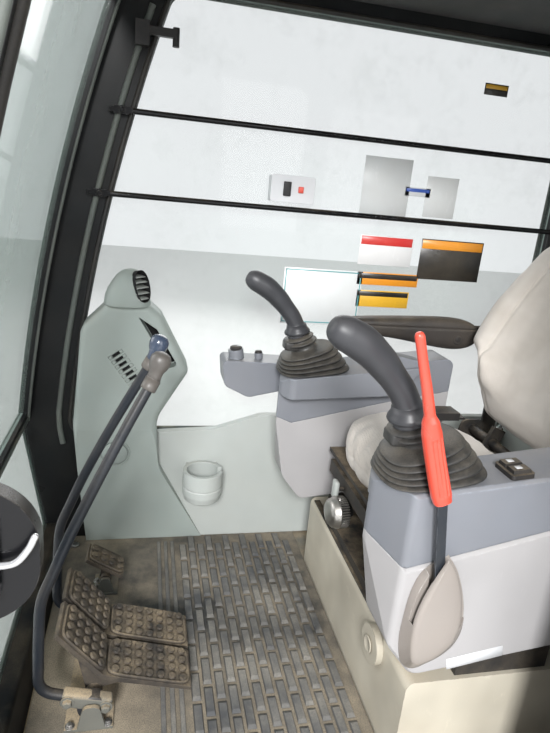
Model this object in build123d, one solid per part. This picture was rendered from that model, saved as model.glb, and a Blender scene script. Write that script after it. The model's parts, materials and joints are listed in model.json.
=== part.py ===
"""Operator's cab of a crawler excavator, opened on its door side.

Millimetres. +X is the operator's left, where the door is, the front is -Y and +Z is up.
The origin lies on the mounting plane, at the centre of the four cab mounts.
Outlines of side views are rows of (y, z, corner radius), seen along X.
"""
import os
from math import atan2, cos, degrees, radians, sin, sqrt

from build123d import *

os.makedirs("parts", exist_ok=True)

# Shell
CAB_WIDTH = 1050.0
WALL = 45.0
REAR_Y = 850.0
BASE_HEIGHT = 92.0
BASE_FRONT_Y = -775.0
ROOF_RAIL_Z = 1600.0
ROOF_THICKNESS = 80.0
KNEE_Y = -835.0
KNEE_Z = 470.0
HEADER_Y = -575.0
HEADER_DEPTH = 88.0
FRONT_RADIUS = 4650.0
LINING = 22.0

# Base frame
RAIL_WIDTH = 70.0
FLOOR_PLATE = 12.0
MOUNT_SPACING_X = 860.0
MOUNT_SPACING_Y = 1380.0
MOUNT_HOLE = 22.0
MOUNT_PAD = 140.0
MOUNT_PAD_HEIGHT = 30.0

# Windows and door opening
PILLAR_DEPTH = 130.0
DOOR_PILLAR_DEPTH = 70.0
WINDOW_TOP_Z = 1545.0
WINDOW_SILL_Z = 425.0
WINDOW_REAR_Y = 655.0
WINDOW_CORNER = 45.0
GLASS = 6.0
GLASS_GAP = 0.3
SASH_DEPTH = 24.0
SASH_RAIL = 32.0
SASH_INSET = 2.0
SASH_SIDE_GAP = 0.3
DOOR_SILL_Z = 132.0
DOOR_REAR_Y = 150.0
DOOR_CORNER = 60.0
QUARTER_FRONT_Y = 235.0
QUARTER_SILL_Z = 760.0
REAR_WINDOW_WIDTH = 740.0
REAR_WINDOW_SILL_Z = 800.0

# Door
DOOR_THICKNESS = 36.0
DOOR_GAP = 6.0
DOOR_LAP = 22.0
HINGE_OUT = 15.0
HINGE_BEHIND = 18.0
HINGE_PIN = 12.0
HINGE_HEIGHTS = (330.0, 840.0, 1350.0)
DOOR_OPEN_ANGLE = 172.0
DOOR_BORDER = 62.0
DOOR_RAIL_Z = (600.0, 720.0)

# Roof hatch
HATCH_WIDTH = 560.0
HATCH_LENGTH = 520.0
HATCH_CENTRE_Y = -60.0
HATCH_LAP = 22.0
HATCH_GAP = 5.0
HATCH_THICKNESS = 26.0

# Floor and trim
MAT = 8.0
TRIM = 22.0

# Guard bars across the right window
BAR_RADIUS = 7.0
BAR_HEIGHTS = (1268.0, 1075.0)
BAR_STANDOFF = 14.0

# Seat
RISER_WIDTH = 650.0
RISER_FRONT_Y = -38.0
RISER_REAR_Y = 520.0
RISER_TOP_Z = 300.0
RISER_WALL = 8.0
SUSPENSION_TOP_Z = 480.0
CUSHION_TOP_Z = 600.0
CUSHION_WIDTH = 476.0
CUSHION_FRONT_Y = -50.0
CUSHION_REAR_Y = 335.0
PAN = 10.0
RUNNING_GAP = 1.0
BACK_ANGLE = 22.0
BACK_WIDTH = 480.0
BACK_HEIGHT = 590.0
BACK_THICKNESS = 130.0
BACK_FRONT = 75.0
BACK_PIVOT_Y = 352.0
BACK_PIVOT_Z = 560.0
BACK_FOOT = 40.0
RECLINE_PIN = 12.0
PIN_GAP = 0.1

# Armrests, on plates beside the back
ARM_PIVOT = (415.0, 806.0)
ARM_PLATE_X = 254.0
ARM_INNER_X = 260.0
ARM_WIDTH = 58.0
ARM_PIN = 8.0
ARM_LIFT_ANGLE = 105.0

# Consoles and controls
CONSOLE_OUTER_X = 348.0
CONSOLE_INNER_X = 200.0
CONSOLE_LOWER_X = 248.0
CONSOLE_EDGE = 5.0
STICK_X = 272.0
PEDAL_SHAFT_Y = -592.0
PEDAL_SHAFT_Z = 140.0
PEDAL_SHAFT_RADIUS = 9.0
PEDAL_CENTRES = (86.0, -22.0)
PEDAL_WIDTH = 96.0
PEDAL_PLATE = 8.0
HUB_RADIUS = 17.0
LEVER_RADIUS = 11.0
LEVER_OUTBOARD = 64.0
LEVER_TOPS = (70.0, -50.0)

BEND_STEPS = 3

HALF = CAB_WIDTH / 2
INNER = HALF - WALL
FLOOR_Z = BASE_HEIGHT + MAT
ROOF_TOP_Z = ROOF_RAIL_Z + ROOF_THICKNESS
LINING_Z = ROOF_RAIL_Z - LINING


def side(x=0.0):
    """Plane whose sketch axes are Y and Z, facing +X."""
    return Plane(origin=(x, 0, 0), x_dir=(0, 1, 0), z_dir=(1, 0, 0))


def front(y=0.0):
    """Plane whose sketch axes are X and Z, facing -Y."""
    return Plane(origin=(0, y, 0), x_dir=(1, 0, 0), z_dir=(0, -1, 0))


def rounded(face, corners):
    """The face with its corners rounded, from rows of (u, v, radius)."""
    for u, v, radius in corners:
        if radius:
            vertex = face.vertices().sort_by_distance(Vector(u, v, 0))[0]
            face = fillet(vertex, radius)
    return face


def outline(corners):
    """Closed face through rows of (u, v, corner radius)."""
    face = Sketch() + make_face(Polyline(*[(u, v) for u, v, _ in corners], close=True))
    return rounded(face, corners)


def slab(corners, x0, x1):
    """Side-view outline from x0 to x1."""
    return extrude(side(min(x0, x1)) * outline(corners), abs(x1 - x0))


def block(x0, x1, y0, y1, z0, z1):
    """Box between two corners."""
    return Pos((x0 + x1) / 2, (y0 + y1) / 2, (z0 + z1) / 2) * Box(
        abs(x1 - x0), abs(y1 - y0), abs(z1 - z0)
    )


def rod(start, end, radius):
    """Round bar between two points."""
    start, end = Vector(*start), Vector(*end)
    run = end - start
    return extrude(Plane(origin=start, z_dir=run) * Circle(radius), run.length)


def tube_along(points, bends, radius):
    """Round bar along straight runs, each bend in mitred steps, one bend radius a corner."""
    smooth = FilletPolyline(*points, radius=bends)
    stations = []
    for edge in smooth.edges().sort_by(smooth):
        steps = BEND_STEPS if edge.geom_type == GeomType.CIRCLE else 1
        stations += [edge @ (step / steps) for step in range(steps)]
    path = Polyline(*stations, smooth @ 1)
    start = Plane(origin=path @ 0, z_dir=path % 0)
    return sweep(start * Circle(radius), path=path, transition=Transition.RIGHT)


def turned(profile):
    """Solid of revolution about Z from (radius, height) points, closed along the axis."""
    return revolve(Plane.XZ * make_face(Polyline(*profile, close=True)), Axis.Z)


def mirrored(shape):
    """The same piece on the other side of the cab."""
    return mirror(shape, Plane.YZ)


def write(name, shape):
    """One STEP file for each node."""
    export_step(shape, f"parts/{name}.step")


# The front of the cab leans on one large arc from the knee to the header.
chord_y, chord_z = HEADER_Y - KNEE_Y, ROOF_RAIL_Z - KNEE_Z
chord = sqrt(chord_y**2 + chord_z**2)
to_centre = sqrt(FRONT_RADIUS**2 - chord**2 / 4)
ARC_Y = (KNEE_Y + HEADER_Y) / 2 + to_centre * chord_z / chord
ARC_Z = (KNEE_Z + ROOF_RAIL_Z) / 2 - to_centre * chord_y / chord


def front_y(z, inset=0.0):
    """Y of the cab's front at a height, or of an arc that lies inset behind it."""
    if z < KNEE_Z:
        share = (z - BASE_HEIGHT) / (KNEE_Z - BASE_HEIGHT)
        return BASE_FRONT_Y + share * (KNEE_Y - BASE_FRONT_Y) + inset
    return ARC_Y - sqrt((FRONT_RADIUS - inset) ** 2 - (z - ARC_Z) ** 2)


def front_arc(z0, z1, inset=0.0, shift=0.0):
    """Arc of the cab's front between two heights, inset square to it or shifted back."""
    heights = (z0, (z0 + z1) / 2, z1)
    return ThreePointArc(*[(front_y(z, inset) + shift, z) for z in heights])


def band(inset0, inset1, z0, z1):
    """Closed side-view face between two arcs of the cab's front."""
    fore = front_arc(z0, z1, inset0)
    aft = front_arc(z1, z0, inset1)
    return Sketch() + make_face([fore, Line(fore @ 1, aft @ 0), aft, Line(aft @ 1, fore @ 0)])


def opening_face(shift, sill, top, rear, corner):
    """Window or door opening behind a front pillar, in side view."""
    fore = front_arc(max(sill, KNEE_Z), top, shift=shift)
    low = (front_y(sill) + shift, sill)
    points = [(rear, top), (rear, sill)]
    if sill < KNEE_Z:
        points.append(low)
    face = Sketch() + make_face([fore, Polyline(fore @ 1, *points, fore @ 0)])
    corners = [(rear, top, corner), (rear, sill, corner), (*low, corner)]
    corners.append((front_y(top) + shift, top, corner))
    return rounded(face, corners)


def shell_face():
    """Side view of the whole cab above its base frame."""
    fore = front_arc(KNEE_Z, ROOF_RAIL_Z)
    points = [fore @ 1, (REAR_Y - 40, ROOF_RAIL_Z), (REAR_Y, ROOF_RAIL_Z - 160)]
    points += [(REAR_Y, BASE_HEIGHT), (BASE_FRONT_Y, BASE_HEIGHT), fore @ 0]
    return Sketch() + make_face([fore, Polyline(*points)])


def right_window_face():
    return opening_face(PILLAR_DEPTH, WINDOW_SILL_Z, WINDOW_TOP_Z, WINDOW_REAR_Y, WINDOW_CORNER)


def door_opening_face():
    return opening_face(DOOR_PILLAR_DEPTH, DOOR_SILL_Z, WINDOW_TOP_Z, DOOR_REAR_Y, DOOR_CORNER)


def quarter_window_face():
    y0, y1, z0, z1, r = QUARTER_FRONT_Y, WINDOW_REAR_Y + 90, QUARTER_SILL_Z, WINDOW_TOP_Z - 35, 50
    return outline([(y0, z0, r), (y1, z0, r), (y1, z1, r), (y0, z1, r)])


def rear_window_face():
    x, z0, z1, r = REAR_WINDOW_WIDTH / 2, REAR_WINDOW_SILL_Z, 1400.0, 50
    return outline([(-x, z0, r), (x, z0, r), (x, z1, r), (-x, z1, r)])


def side_wall(openings, x0):
    """Side wall as thick as the real panel, with its openings cut."""
    wall = extrude(side(x0) * shell_face(), WALL)
    for face in openings:
        wall -= extrude(side(x0) * face, WALL)
    return wall


def pane(face, x):
    """Side glass that fills an opening but for its gap."""
    return extrude(side(x) * offset(face, -GLASS_GAP), GLASS)


def base_frame():
    """Box rails, cross members and floor plate on four mount pads."""
    plate = block(-HALF, HALF, BASE_FRONT_Y, REAR_Y, BASE_HEIGHT - FLOOR_PLATE, BASE_HEIGHT)
    frame = plate
    rail_top = BASE_HEIGHT - FLOOR_PLATE
    for sign in (-1, 1):
        inner = sign * (HALF - RAIL_WIDTH)
        frame += block(sign * HALF, inner, BASE_FRONT_Y, REAR_Y, MOUNT_PAD_HEIGHT, rail_top)
    for y in (BASE_FRONT_Y, -200.0, 330.0, REAR_Y - RAIL_WIDTH):
        frame += block(-HALF, HALF, y, y + RAIL_WIDTH, MOUNT_PAD_HEIGHT, rail_top)
    for x in (-MOUNT_SPACING_X / 2, MOUNT_SPACING_X / 2):
        for y in (-MOUNT_SPACING_Y / 2, MOUNT_SPACING_Y / 2):
            half = MOUNT_PAD / 2
            pad = block(x - half, x + half, y - half, y + half, 0, rail_top)
            hole = Pos(x, y, 0) * extrude(Circle(MOUNT_HOLE / 2), BASE_HEIGHT)
            frame = frame + pad - hole
    return frame


def floor_mat():
    """Rubber mat from the lower front glass to the seat riser."""
    y0 = BASE_FRONT_Y + 62
    return block(-INNER + 2, INNER - 2, y0, RISER_FRONT_Y - 4, BASE_HEIGHT, FLOOR_Z)


def rear_wall():
    """Wall between the side frames, with the rear window cut."""
    wall = block(-INNER, INNER, REAR_Y - WALL, REAR_Y, BASE_HEIGHT, ROOF_RAIL_Z - 160)
    slope = [(REAR_Y - WALL, ROOF_RAIL_Z - 160, 0), (REAR_Y, ROOF_RAIL_Z - 160, 0)]
    slope += [(REAR_Y - 40, ROOF_RAIL_Z, 0), (REAR_Y - 40 - WALL, ROOF_RAIL_Z, 0)]
    wall += slab(slope, -INNER, INNER)
    return wall - extrude(front(REAR_Y) * rear_window_face(), WALL)


def hatch_hole(width, length, z0, z1, corner):
    """Rounded well through the roof at the hatch."""
    face = Pos(0, HATCH_CENTRE_Y, z0) * RectangleRounded(width, length, corner)
    return extrude(face, z1 - z0)


def roof():
    """Pressed roof panel with the hatch opening cut."""
    y0, y1 = HEADER_Y - 18, REAR_Y - 30
    corners = [(y0, ROOF_RAIL_Z, 0), (y1, ROOF_RAIL_Z, 0), (y1, ROOF_TOP_Z - 12, 30)]
    corners += [(HATCH_HINGE_Y + 60, ROOF_TOP_Z, 0), (y0 + 64, ROOF_TOP_Z, 0)]
    corners += [(y0 + 22, ROOF_TOP_Z - 16, 0), (y0, ROOF_RAIL_Z + 30, 12)]
    across = [(-HALF, ROOF_RAIL_Z, 0), (HALF, ROOF_RAIL_Z, 0), (HALF, ROOF_RAIL_Z + 40, 10)]
    across += [(HALF - 70, ROOF_TOP_Z, 90), (-HALF + 70, ROOF_TOP_Z, 90), (-HALF, ROOF_RAIL_Z + 40, 10)]
    panel = slab(corners, -HALF - 5, HALF + 5) & extrude(front(y1 + 5) * outline(across), y1 - y0 + 10)
    return panel - hatch_hole(HATCH_WIDTH, HATCH_LENGTH, ROOF_RAIL_Z, ROOF_TOP_Z, 60)


def roof_lining():
    """Soft lining under the roof, open at the hatch."""
    y0 = HEADER_Y + HEADER_DEPTH
    panel = block(-INNER, INNER, y0, REAR_Y - 100, LINING_Z, ROOF_RAIL_Z)
    return panel - hatch_hole(HATCH_WIDTH, HATCH_LENGTH, LINING_Z, ROOF_RAIL_Z, 60)


HATCH_HINGE_Y = HATCH_CENTRE_Y + HATCH_LENGTH / 2 + HATCH_LAP + 16
HATCH_HINGE_Z = ROOF_TOP_Z + HATCH_GAP + 10
HATCH_HINGE_X = (-180.0, 180.0)
HATCH_PIN = 4.0


def hatch_lid():
    """Lid that laps the hatch opening, with its hinge lugs."""
    width, length = HATCH_WIDTH + 2 * HATCH_LAP, HATCH_LENGTH + 2 * HATCH_LAP
    z0 = ROOF_TOP_Z + HATCH_GAP
    lid = hatch_hole(width, length, z0, z0 + HATCH_THICKNESS, 70)
    lid = chamfer(lid.faces().sort_by(Axis.Z)[-1].edges(), 10)
    for x in HATCH_HINGE_X:
        y, z = HATCH_HINGE_Y, HATCH_HINGE_Z
        lid += block(x - 10, x + 10, y - 30, y, z - 5, z + 5)
        lid += rod((x - 10, y, z), (x + 10, y, z), 9)
        lid -= rod((x - 12, y, z), (x + 12, y, z), HATCH_PIN + PIN_GAP)
    return lid


def hatch_grip():
    """Pull bar under the lid's front."""
    y = HATCH_CENTRE_Y - HATCH_LENGTH / 2 + 90
    z1 = ROOF_TOP_Z + HATCH_GAP
    bar = block(-70, 70, y, y + 18, z1 - 62, z1 - 46)
    for x in (-70, 54):
        bar += block(x, x + 16, y, y + 18, z1 - 62, z1)
    return bar


def hatch_hinges():
    """Ears and pins behind the hatch opening."""
    y, z = HATCH_HINGE_Y, HATCH_HINGE_Z
    hinges = Part()
    for x in HATCH_HINGE_X:
        for sign in (-1, 1):
            ear = [(y - 9, ROOF_TOP_Z, 0), (y + 22, ROOF_TOP_Z, 0), (y + 9, z + 9, 8), (y - 9, z + 9, 8)]
            hinges += slab(ear, x + sign * 12, x + sign * 28)
        hinges += rod((x - 28, y, z), (x + 28, y, z), HATCH_PIN)
    return hinges


def front_header():
    """Cross member over the front window."""
    z0 = 1540.0
    corners = [(front_y(z0) + 4, z0, 0), (HEADER_Y, ROOF_RAIL_Z, 0)]
    rear = HEADER_Y + HEADER_DEPTH
    corners += [(rear, ROOF_RAIL_Z, 0), (rear, LINING_Z, 0), (HEADER_Y + 66, z0 + 12, 10)]
    return slab(corners, -INNER, INNER)


def front_sill():
    """Cross member under the lower front glass."""
    corners = [(front_y(BASE_HEIGHT), BASE_HEIGHT, 0), (front_y(145), 145, 0)]
    corners += [(front_y(145) + 45, 145, 14), (BASE_FRONT_Y + 58, BASE_HEIGHT, 0)]
    return slab(corners, -INNER, INNER)


SASH_BOTTOM_Z, SASH_TOP_Z = 468.0, 1536.0


def front_window_sash():
    """Frame of the lifting front window, curved with the cab."""
    side_x = INNER - SASH_SIDE_GAP
    frame = extrude(side(-side_x) * band(SASH_INSET, SASH_DEPTH, SASH_BOTTOM_Z, SASH_TOP_Z), 2 * side_x)
    hole_x = side_x - SASH_RAIL
    low, high = SASH_BOTTOM_Z + SASH_RAIL, SASH_TOP_Z - SASH_RAIL
    frame -= extrude(side(-hole_x) * band(-20, SASH_DEPTH + 20, low, high), 2 * hole_x)
    return frame


def front_upper_glass():
    """Curved pane inside the sash."""
    x = INNER - SASH_SIDE_GAP - SASH_RAIL - GLASS_GAP
    low, high = SASH_BOTTOM_Z + SASH_RAIL + GLASS_GAP, SASH_TOP_Z - SASH_RAIL - GLASS_GAP
    return extrude(side(-x) * band(8, 8 + GLASS, low, high), 2 * x)


def front_lower_glass():
    """Flat pane from the floor sill up to the sash."""
    low, high = 145.0, SASH_BOTTOM_Z - 4
    corners = [(front_y(low) + 6, low, 0), (front_y(high) + 6, high, 0)]
    corners += [(front_y(high) + 6 + GLASS, high, 0), (front_y(low) + 6 + GLASS, low, 0)]
    return slab(corners, -INNER, INNER)


def rear_glass():
    return extrude(front(REAR_Y - 12) * offset(rear_window_face(), -GLASS_GAP), GLASS)


def guard_bars():
    """Two bars across the right window, with flattened bolted ends."""
    x = -INNER + BAR_STANDOFF
    bars = Part()
    for z in BAR_HEIGHTS:
        y0, y1 = front_y(z) + PILLAR_DEPTH - 24, WINDOW_REAR_Y + 24
        bars += rod((x, y0 + 26, z), (x, y1 - 26, z), BAR_RADIUS)
        for y in (y0, y1):
            bars += block(-INNER, x + BAR_RADIUS - 3, y - 18, y + 18, z - 9, z + 9)
            bars += block(x - BAR_RADIUS + 2, x + BAR_RADIUS - 3, y - 30, y + 30, z - 6, z + 6)
    return bars


def window_hooks():
    """Latch hook of the front window and two coat hooks under the roof rail."""
    z = 1435.0
    y = front_y(z) + PILLAR_DEPTH
    hook = block(-INNER, -INNER + 34, y - 46, y - 14, z - 26, z + 26)
    hook += block(-INNER + 14, -INNER + 30, y - 20, y + 48, z - 2, z + 16)
    hook += rod((-INNER + 22, y + 46, z + 20), (-INNER + 22, y + 46, z - 20), 8)
    return hook


STRIKER_Z = 730.0
STRIKER_REAR_Y = -612.0
STRIKER_HEIGHT = 164.0
STRIKER_X = (INNER + 4, INNER + 26)


def door_striker():
    """Rounded housing behind the door pillar."""
    low, high = STRIKER_Z - STRIKER_HEIGHT / 2, STRIKER_Z + STRIKER_HEIGHT / 2
    fore = front_arc(low, high, shift=DOOR_PILLAR_DEPTH)
    rest = Polyline(fore @ 1, (STRIKER_REAR_Y, high), (STRIKER_REAR_Y, low), fore @ 0)
    corners = [(STRIKER_REAR_Y, high, 70), (STRIKER_REAR_Y, low, 70)]
    face = rounded(Sketch() + make_face([fore, rest]), corners)
    return extrude(side(STRIKER_X[0]) * face, STRIKER_X[1] - STRIKER_X[0])


def striker_bar():
    """Chromed U bar that the door latch closes on."""
    x0, x1 = STRIKER_X[1], HALF - 3
    y, z0, z1 = STRIKER_REAR_Y - 44, STRIKER_Z - 40, STRIKER_Z + 40
    path = Polyline((x0, y, z0), (x1 - 6, y, z0), (x1 - 6, y, z1), (x0, y, z1))
    return sweep(Plane(origin=path @ 0, z_dir=path % 0) * Circle(5), path=path, transition=Transition.RIGHT)


def door_closed():
    """Door pieces as they lie when shut."""
    x0 = HALF + DOOR_GAP
    low, high = DOOR_SILL_Z - DOOR_LAP, WINDOW_TOP_Z + DOOR_LAP
    rear = DOOR_REAR_Y + DOOR_LAP
    shift = DOOR_PILLAR_DEPTH - DOOR_LAP
    leaf = extrude(side(x0) * opening_face(shift, low, high, rear, DOOR_CORNER), DOOR_THICKNESS)
    leaf = chamfer(leaf.faces().sort_by(Axis.X)[-1].edges(), 7)
    rail_low, rail_high = DOOR_RAIL_Z
    border = shift + DOOR_BORDER
    upper = opening_face(border, rail_high, high - DOOR_BORDER, rear - DOOR_BORDER, 40)
    lower = opening_face(border, low + DOOR_BORDER + 10, rail_low, rear - DOOR_BORDER, 40)
    glasses = []
    for face in (upper, lower):
        leaf -= extrude(side(x0) * face, DOOR_THICKNESS)
        glasses.append(pane(face, x0 + DOOR_THICKNESS / 2 - GLASS / 2))
    return leaf, glasses[0], glasses[1]


HINGE_X = HALF + DOOR_GAP + DOOR_THICKNESS + HINGE_OUT
HINGE_Y = DOOR_REAR_Y + DOOR_LAP + HINGE_BEHIND


def swung(shape):
    """A door piece turned about the hinge from shut to open."""
    return Pos(HINGE_X, HINGE_Y, 0) * Rot(0, 0, DOOR_OPEN_ANGLE) * Pos(-HINGE_X, -HINGE_Y, 0) * shape


def door_hinge_brackets():
    """Knuckles on the cab, one at each hinge."""
    brackets = Part()
    for z in HINGE_HEIGHTS:
        arm = block(HALF, HINGE_X, HINGE_Y - 2, HINGE_Y + 12, z - 40, z)
        brackets += arm + rod((HINGE_X, HINGE_Y, z - 40), (HINGE_X, HINGE_Y, z), 12)
        brackets += block(HALF, HALF + 5, HINGE_Y - 10, HINGE_Y + 44, z - 52, z + 12)
        brackets += rod((HINGE_X, HINGE_Y, z - 48), (HINGE_X, HINGE_Y, z + 40), HINGE_PIN / 2)
    return brackets


def door_hinge_leaves():
    """Leaves on the shut door that turn on the hinge pins."""
    leaves = Part()
    x_face = HALF + DOOR_GAP + DOOR_THICKNESS
    for z in HINGE_HEIGHTS:
        leaf = block(x_face, x_face + 8, HINGE_Y - 62, HINGE_Y - 4, z + 1, z + 36)
        leaf += block(x_face, HINGE_X, HINGE_Y - 12, HINGE_Y + 6, z + 1, z + 36)
        leaf += rod((HINGE_X, HINGE_Y, z + 1), (HINGE_X, HINGE_Y, z + 36), 12)
        leaf -= rod((HINGE_X, HINGE_Y, z), (HINGE_X, HINGE_Y, z + 40), HINGE_PIN / 2 + 0.1)
        leaves += leaf
    return leaves


def door_handle():
    """Outside pull handle near the door's front edge, and the latch inside."""
    x = HALF + DOOR_GAP + DOOR_THICKNESS
    z = sum(DOOR_RAIL_Z) / 2
    y = front_y(z) + DOOR_PILLAR_DEPTH + 92
    grip = block(x, x + 10, y - 44, y + 44, z - 40, z + 40)
    grip += block(x + 10, x + 28, y - 36, y - 18, z - 12, z + 12)
    grip += block(x + 10, x + 28, y + 18, y + 36, z - 12, z + 12)
    grip += block(x + 20, x + 28, y - 36, y + 36, z - 12, z + 12)
    return grip


def seat_riser():
    """Sheet-steel box that carries the seat, open to the floor."""
    x = RISER_WIDTH / 2
    outer = block(-x, x, RISER_FRONT_Y, RISER_REAR_Y, BASE_HEIGHT, RISER_TOP_Z)
    outer = fillet(outer.edges().filter_by(Axis.X).group_by(Axis.Z)[-1], 18)
    inner = block(-x + RISER_WALL, x - RISER_WALL, RISER_FRONT_Y + RISER_WALL,
                  RISER_REAR_Y - RISER_WALL, BASE_HEIGHT, RISER_TOP_Z - RISER_WALL)
    boss = rod((186, RISER_FRONT_Y - 14, 262), (186, RISER_FRONT_Y, 262), 40)
    return outer - inner + boss


def seat_suspension():
    """Lower frame, crossed arms and upper frame of the seat suspension."""
    x, y0, y1 = 205.0, -30.0, 380.0
    z0, z1 = RISER_TOP_Z, SUSPENSION_TOP_Z
    frame = block(-x, x, y0, y1, z0, z0 + 26)
    frame += block(-x, x, y0 - 8, y1, z1 - 34, z1)
    frame -= block(-x + 30, x - 30, y0 + 40, y1 - 40, z1 - 34, z1)
    for sign in (-1, 1):
        xa = sign * (x - 22)
        xb = sign * (x - 8)
        low, high = z0 + 26, z1 - 34
        arm = [(y0 + 12, low, 0), (y0 + 48, low, 0), (y1 - 12, high, 0), (y1 - 48, high, 0)]
        cross = [(y0 + 12, high, 0), (y0 + 48, high, 0), (y1 - 12, low, 0), (y1 - 48, low, 0)]
        frame += slab(arm, xa, xb) + slab(cross, xa, xb)
    for side_x in (-150.0, 150.0):
        frame += block(side_x - 14, side_x + 14, y0, y1, z1, z1 + 14)
    return frame


def suspension_knobs():
    """Large knurled weight knob and the small lever knob beside it."""
    y, z = -38.0, 427.0
    rim = front(y) * Pos(-60, z) * RegularPolygon(28, 20)
    cap = front(y - 34) * Pos(-60, z) * RegularPolygon(20, 10)
    stem = front(-8.0) * Pos(-60, z) * RegularPolygon(11, 8)
    return extrude(rim, 34) + extrude(cap, 8) + extrude(stem, 30)


def seat_pan():
    """Pan with the runners that slide on the suspension rails."""
    z0 = SUSPENSION_TOP_Z + 14 + 0.3
    x = CUSHION_WIDTH / 2 - 14
    rear = CUSHION_REAR_Y + 64
    pan = block(-x, x, CUSHION_FRONT_Y + 12, rear, z0, z0 + PAN)
    for rail_x in (-150.0, 150.0):
        for sign in (-1, 1):
            inner = rail_x + sign * (14 + RUNNING_GAP)
            pan += block(inner, inner + sign * 6, -20, 370, SUSPENSION_TOP_Z + 2, z0)
    for sign in (-1, 1):
        bracket = [(300, z0, 0), (395, z0, 0), (BACK_PIVOT_Y + 30, BACK_PIVOT_Z + 24, 18)]
        bracket += [(BACK_PIVOT_Y - 30, BACK_PIVOT_Z + 24, 18)]
        x0 = sign * (x - 8)
        pan += slab(bracket, x0, x0 + sign * 8)
    pin_x = x - 8
    pan += rod((-pin_x, BACK_PIVOT_Y, BACK_PIVOT_Z), (pin_x, BACK_PIVOT_Y, BACK_PIVOT_Z), RECLINE_PIN)
    return pan + block(-ARM_PLATE_X, ARM_PLATE_X, rear, ARM_PIVOT[0] + 24, z0, z0 + PAN)


def seat_cushion():
    """Upholstered cushion, plain."""
    z0 = SUSPENSION_TOP_Z + 14 + 0.3 + PAN
    face = Pos(0, (CUSHION_FRONT_Y + 318) / 2, z0) * RectangleRounded(
        CUSHION_WIDTH - 60, 318 - CUSHION_FRONT_Y, 55)
    cushion = extrude(face, CUSHION_TOP_Z - z0)
    return chamfer(cushion.faces().sort_by(Axis.Z)[-1].edges(), 20)


def on_back(shape):
    """A piece drawn upright at the backrest pivot, leant back with it."""
    return Pos(0, BACK_PIVOT_Y, BACK_PIVOT_Z) * Rot(-BACK_ANGLE, 0, 0) * shape


def seat_backrest():
    """Upholstered back, plain, leant back."""
    w, h = BACK_WIDTH / 2, BACK_HEIGHT
    corners = [(-w + 60, BACK_FOOT, 30), (w - 60, BACK_FOOT, 30), (w, 180, 90), (w, 430, 200)]
    corners += [(w - 30, h, 90), (-w + 30, h, 90), (-w, 430, 200), (-w, 180, 90)]
    back = extrude(front(BACK_THICKNESS - BACK_FRONT) * outline(corners), BACK_THICKNESS)
    back = chamfer(back.faces().sort_by(Axis.Y)[0].edges(), 24)
    bolster = [(-60, 84, 20), (-122, 132, 50), (-134, 240, 80)]
    bolster += [(-114, 350, 80), (-90, 500, 40), (-40, 560, 20)]
    for sign in (-1, 1):
        roll = slab([*bolster, (0, 500, 0), (0, 120, 0)], sign * (w - 70), sign * w)
        outer = roll.faces().sort_by(Axis.X)[-1 if sign > 0 else 0]
        back += chamfer(outer.edges().filter_by(lambda e: e.center().Y < -60), 12)
    heel = [(-BACK_FRONT - 5, BACK_FOOT - 4, 0), (-20, BACK_FOOT - 4, 0), (-BACK_FRONT - 5, 90, 0)]
    return on_back(back - slab(heel, -w, w))


def headrest():
    """Headrest on its two posts."""
    pad = extrude(front(38) * (Pos(0, BACK_HEIGHT + 130) * RectangleRounded(280, 170, 45)), 76)
    pad = chamfer(pad.faces().sort_by(Axis.Y)[0].edges(), 16)
    for x in (-70, 70):
        pad += rod((x, 0, BACK_HEIGHT), (x, 0, BACK_HEIGHT + 60), 6)
    return on_back(pad)


def recliner():
    """Two plates that turn on the seat's cross pin and carry the back."""
    plates = Part()
    for sign in (-1, 1):
        plate = block(sign * 120, sign * 132, -18, 18, -18, BACK_FOOT)
        bore = rod((-140, 0, 0), (140, 0, 0), RECLINE_PIN + PIN_GAP)
        plates += plate - bore
    return on_back(plates)


def armrest(sign):
    """Padded arm with its round pivot end, lying forward."""
    y, z = ARM_PIVOT
    corners = [(y + 34, z - 30, 28), (y + 34, z + 34, 30), (-52, z + 22, 12), (-50, z - 6, 8)]
    corners += [(60, z - 10, 60), (240, z - 44, 60)]
    arm = slab(corners, sign * ARM_INNER_X, sign * (ARM_INNER_X + ARM_WIDTH))
    bore = rod((sign * ARM_INNER_X, y, z), (sign * (ARM_INNER_X + ARM_WIDTH), y, z), ARM_PIN + PIN_GAP)
    return arm - bore


def raised(arm):
    """An armrest folded up along the back."""
    y, z = ARM_PIVOT
    return Pos(0, y, z) * Rot(-ARM_LIFT_ANGLE, 0, 0) * Pos(0, -y, -z) * arm


def armrest_plates():
    """Plates that rise from the pan's crossbar, with the armrest pins."""
    y, z = ARM_PIVOT
    foot = SUSPENSION_TOP_Z + 14 + 0.3 + PAN
    plates = Part()
    for sign in (-1, 1):
        corners = [(y - 16, foot, 0), (y + 24, foot, 0), (y + 26, z + 24, 24)]
        corners += [(y - 26, z + 24, 24), (y - 16, z - 50, 40)]
        plates += slab(corners, sign * (ARM_PLATE_X - 8), sign * ARM_PLATE_X)
        plates += rod((sign * ARM_PLATE_X, y, z), (sign * (ARM_INNER_X - 0.3), y, z), 16)
        plates += rod((sign * ARM_PLATE_X, y, z), (sign * (ARM_INNER_X + ARM_WIDTH), y, z), ARM_PIN)
    return plates


# Console outlines (y, z, corner radius): light lower half, darker upper half and inner shelf.
TOP_FRONT, TOP_EDGE, TOP_REAR = (-135, 668), (-118, 690.6), (330, 742)
UNDER_FRONT, UNDER_REAR = (-48, 341), (330, 392)


def console_top_z(y):
    """Height of the console's top behind its front edge."""
    (y0, z0), (y1, z1) = TOP_EDGE, TOP_REAR
    return z0 + (y - y0) * (z1 - z0) / (y1 - y0)


def console_under_z(y):
    """Height of the console's sloping underside."""
    (y0, z0), (y1, z1) = UNDER_FRONT, UNDER_REAR
    return z0 + (y - y0) * (z1 - z0) / (y1 - y0)


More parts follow.
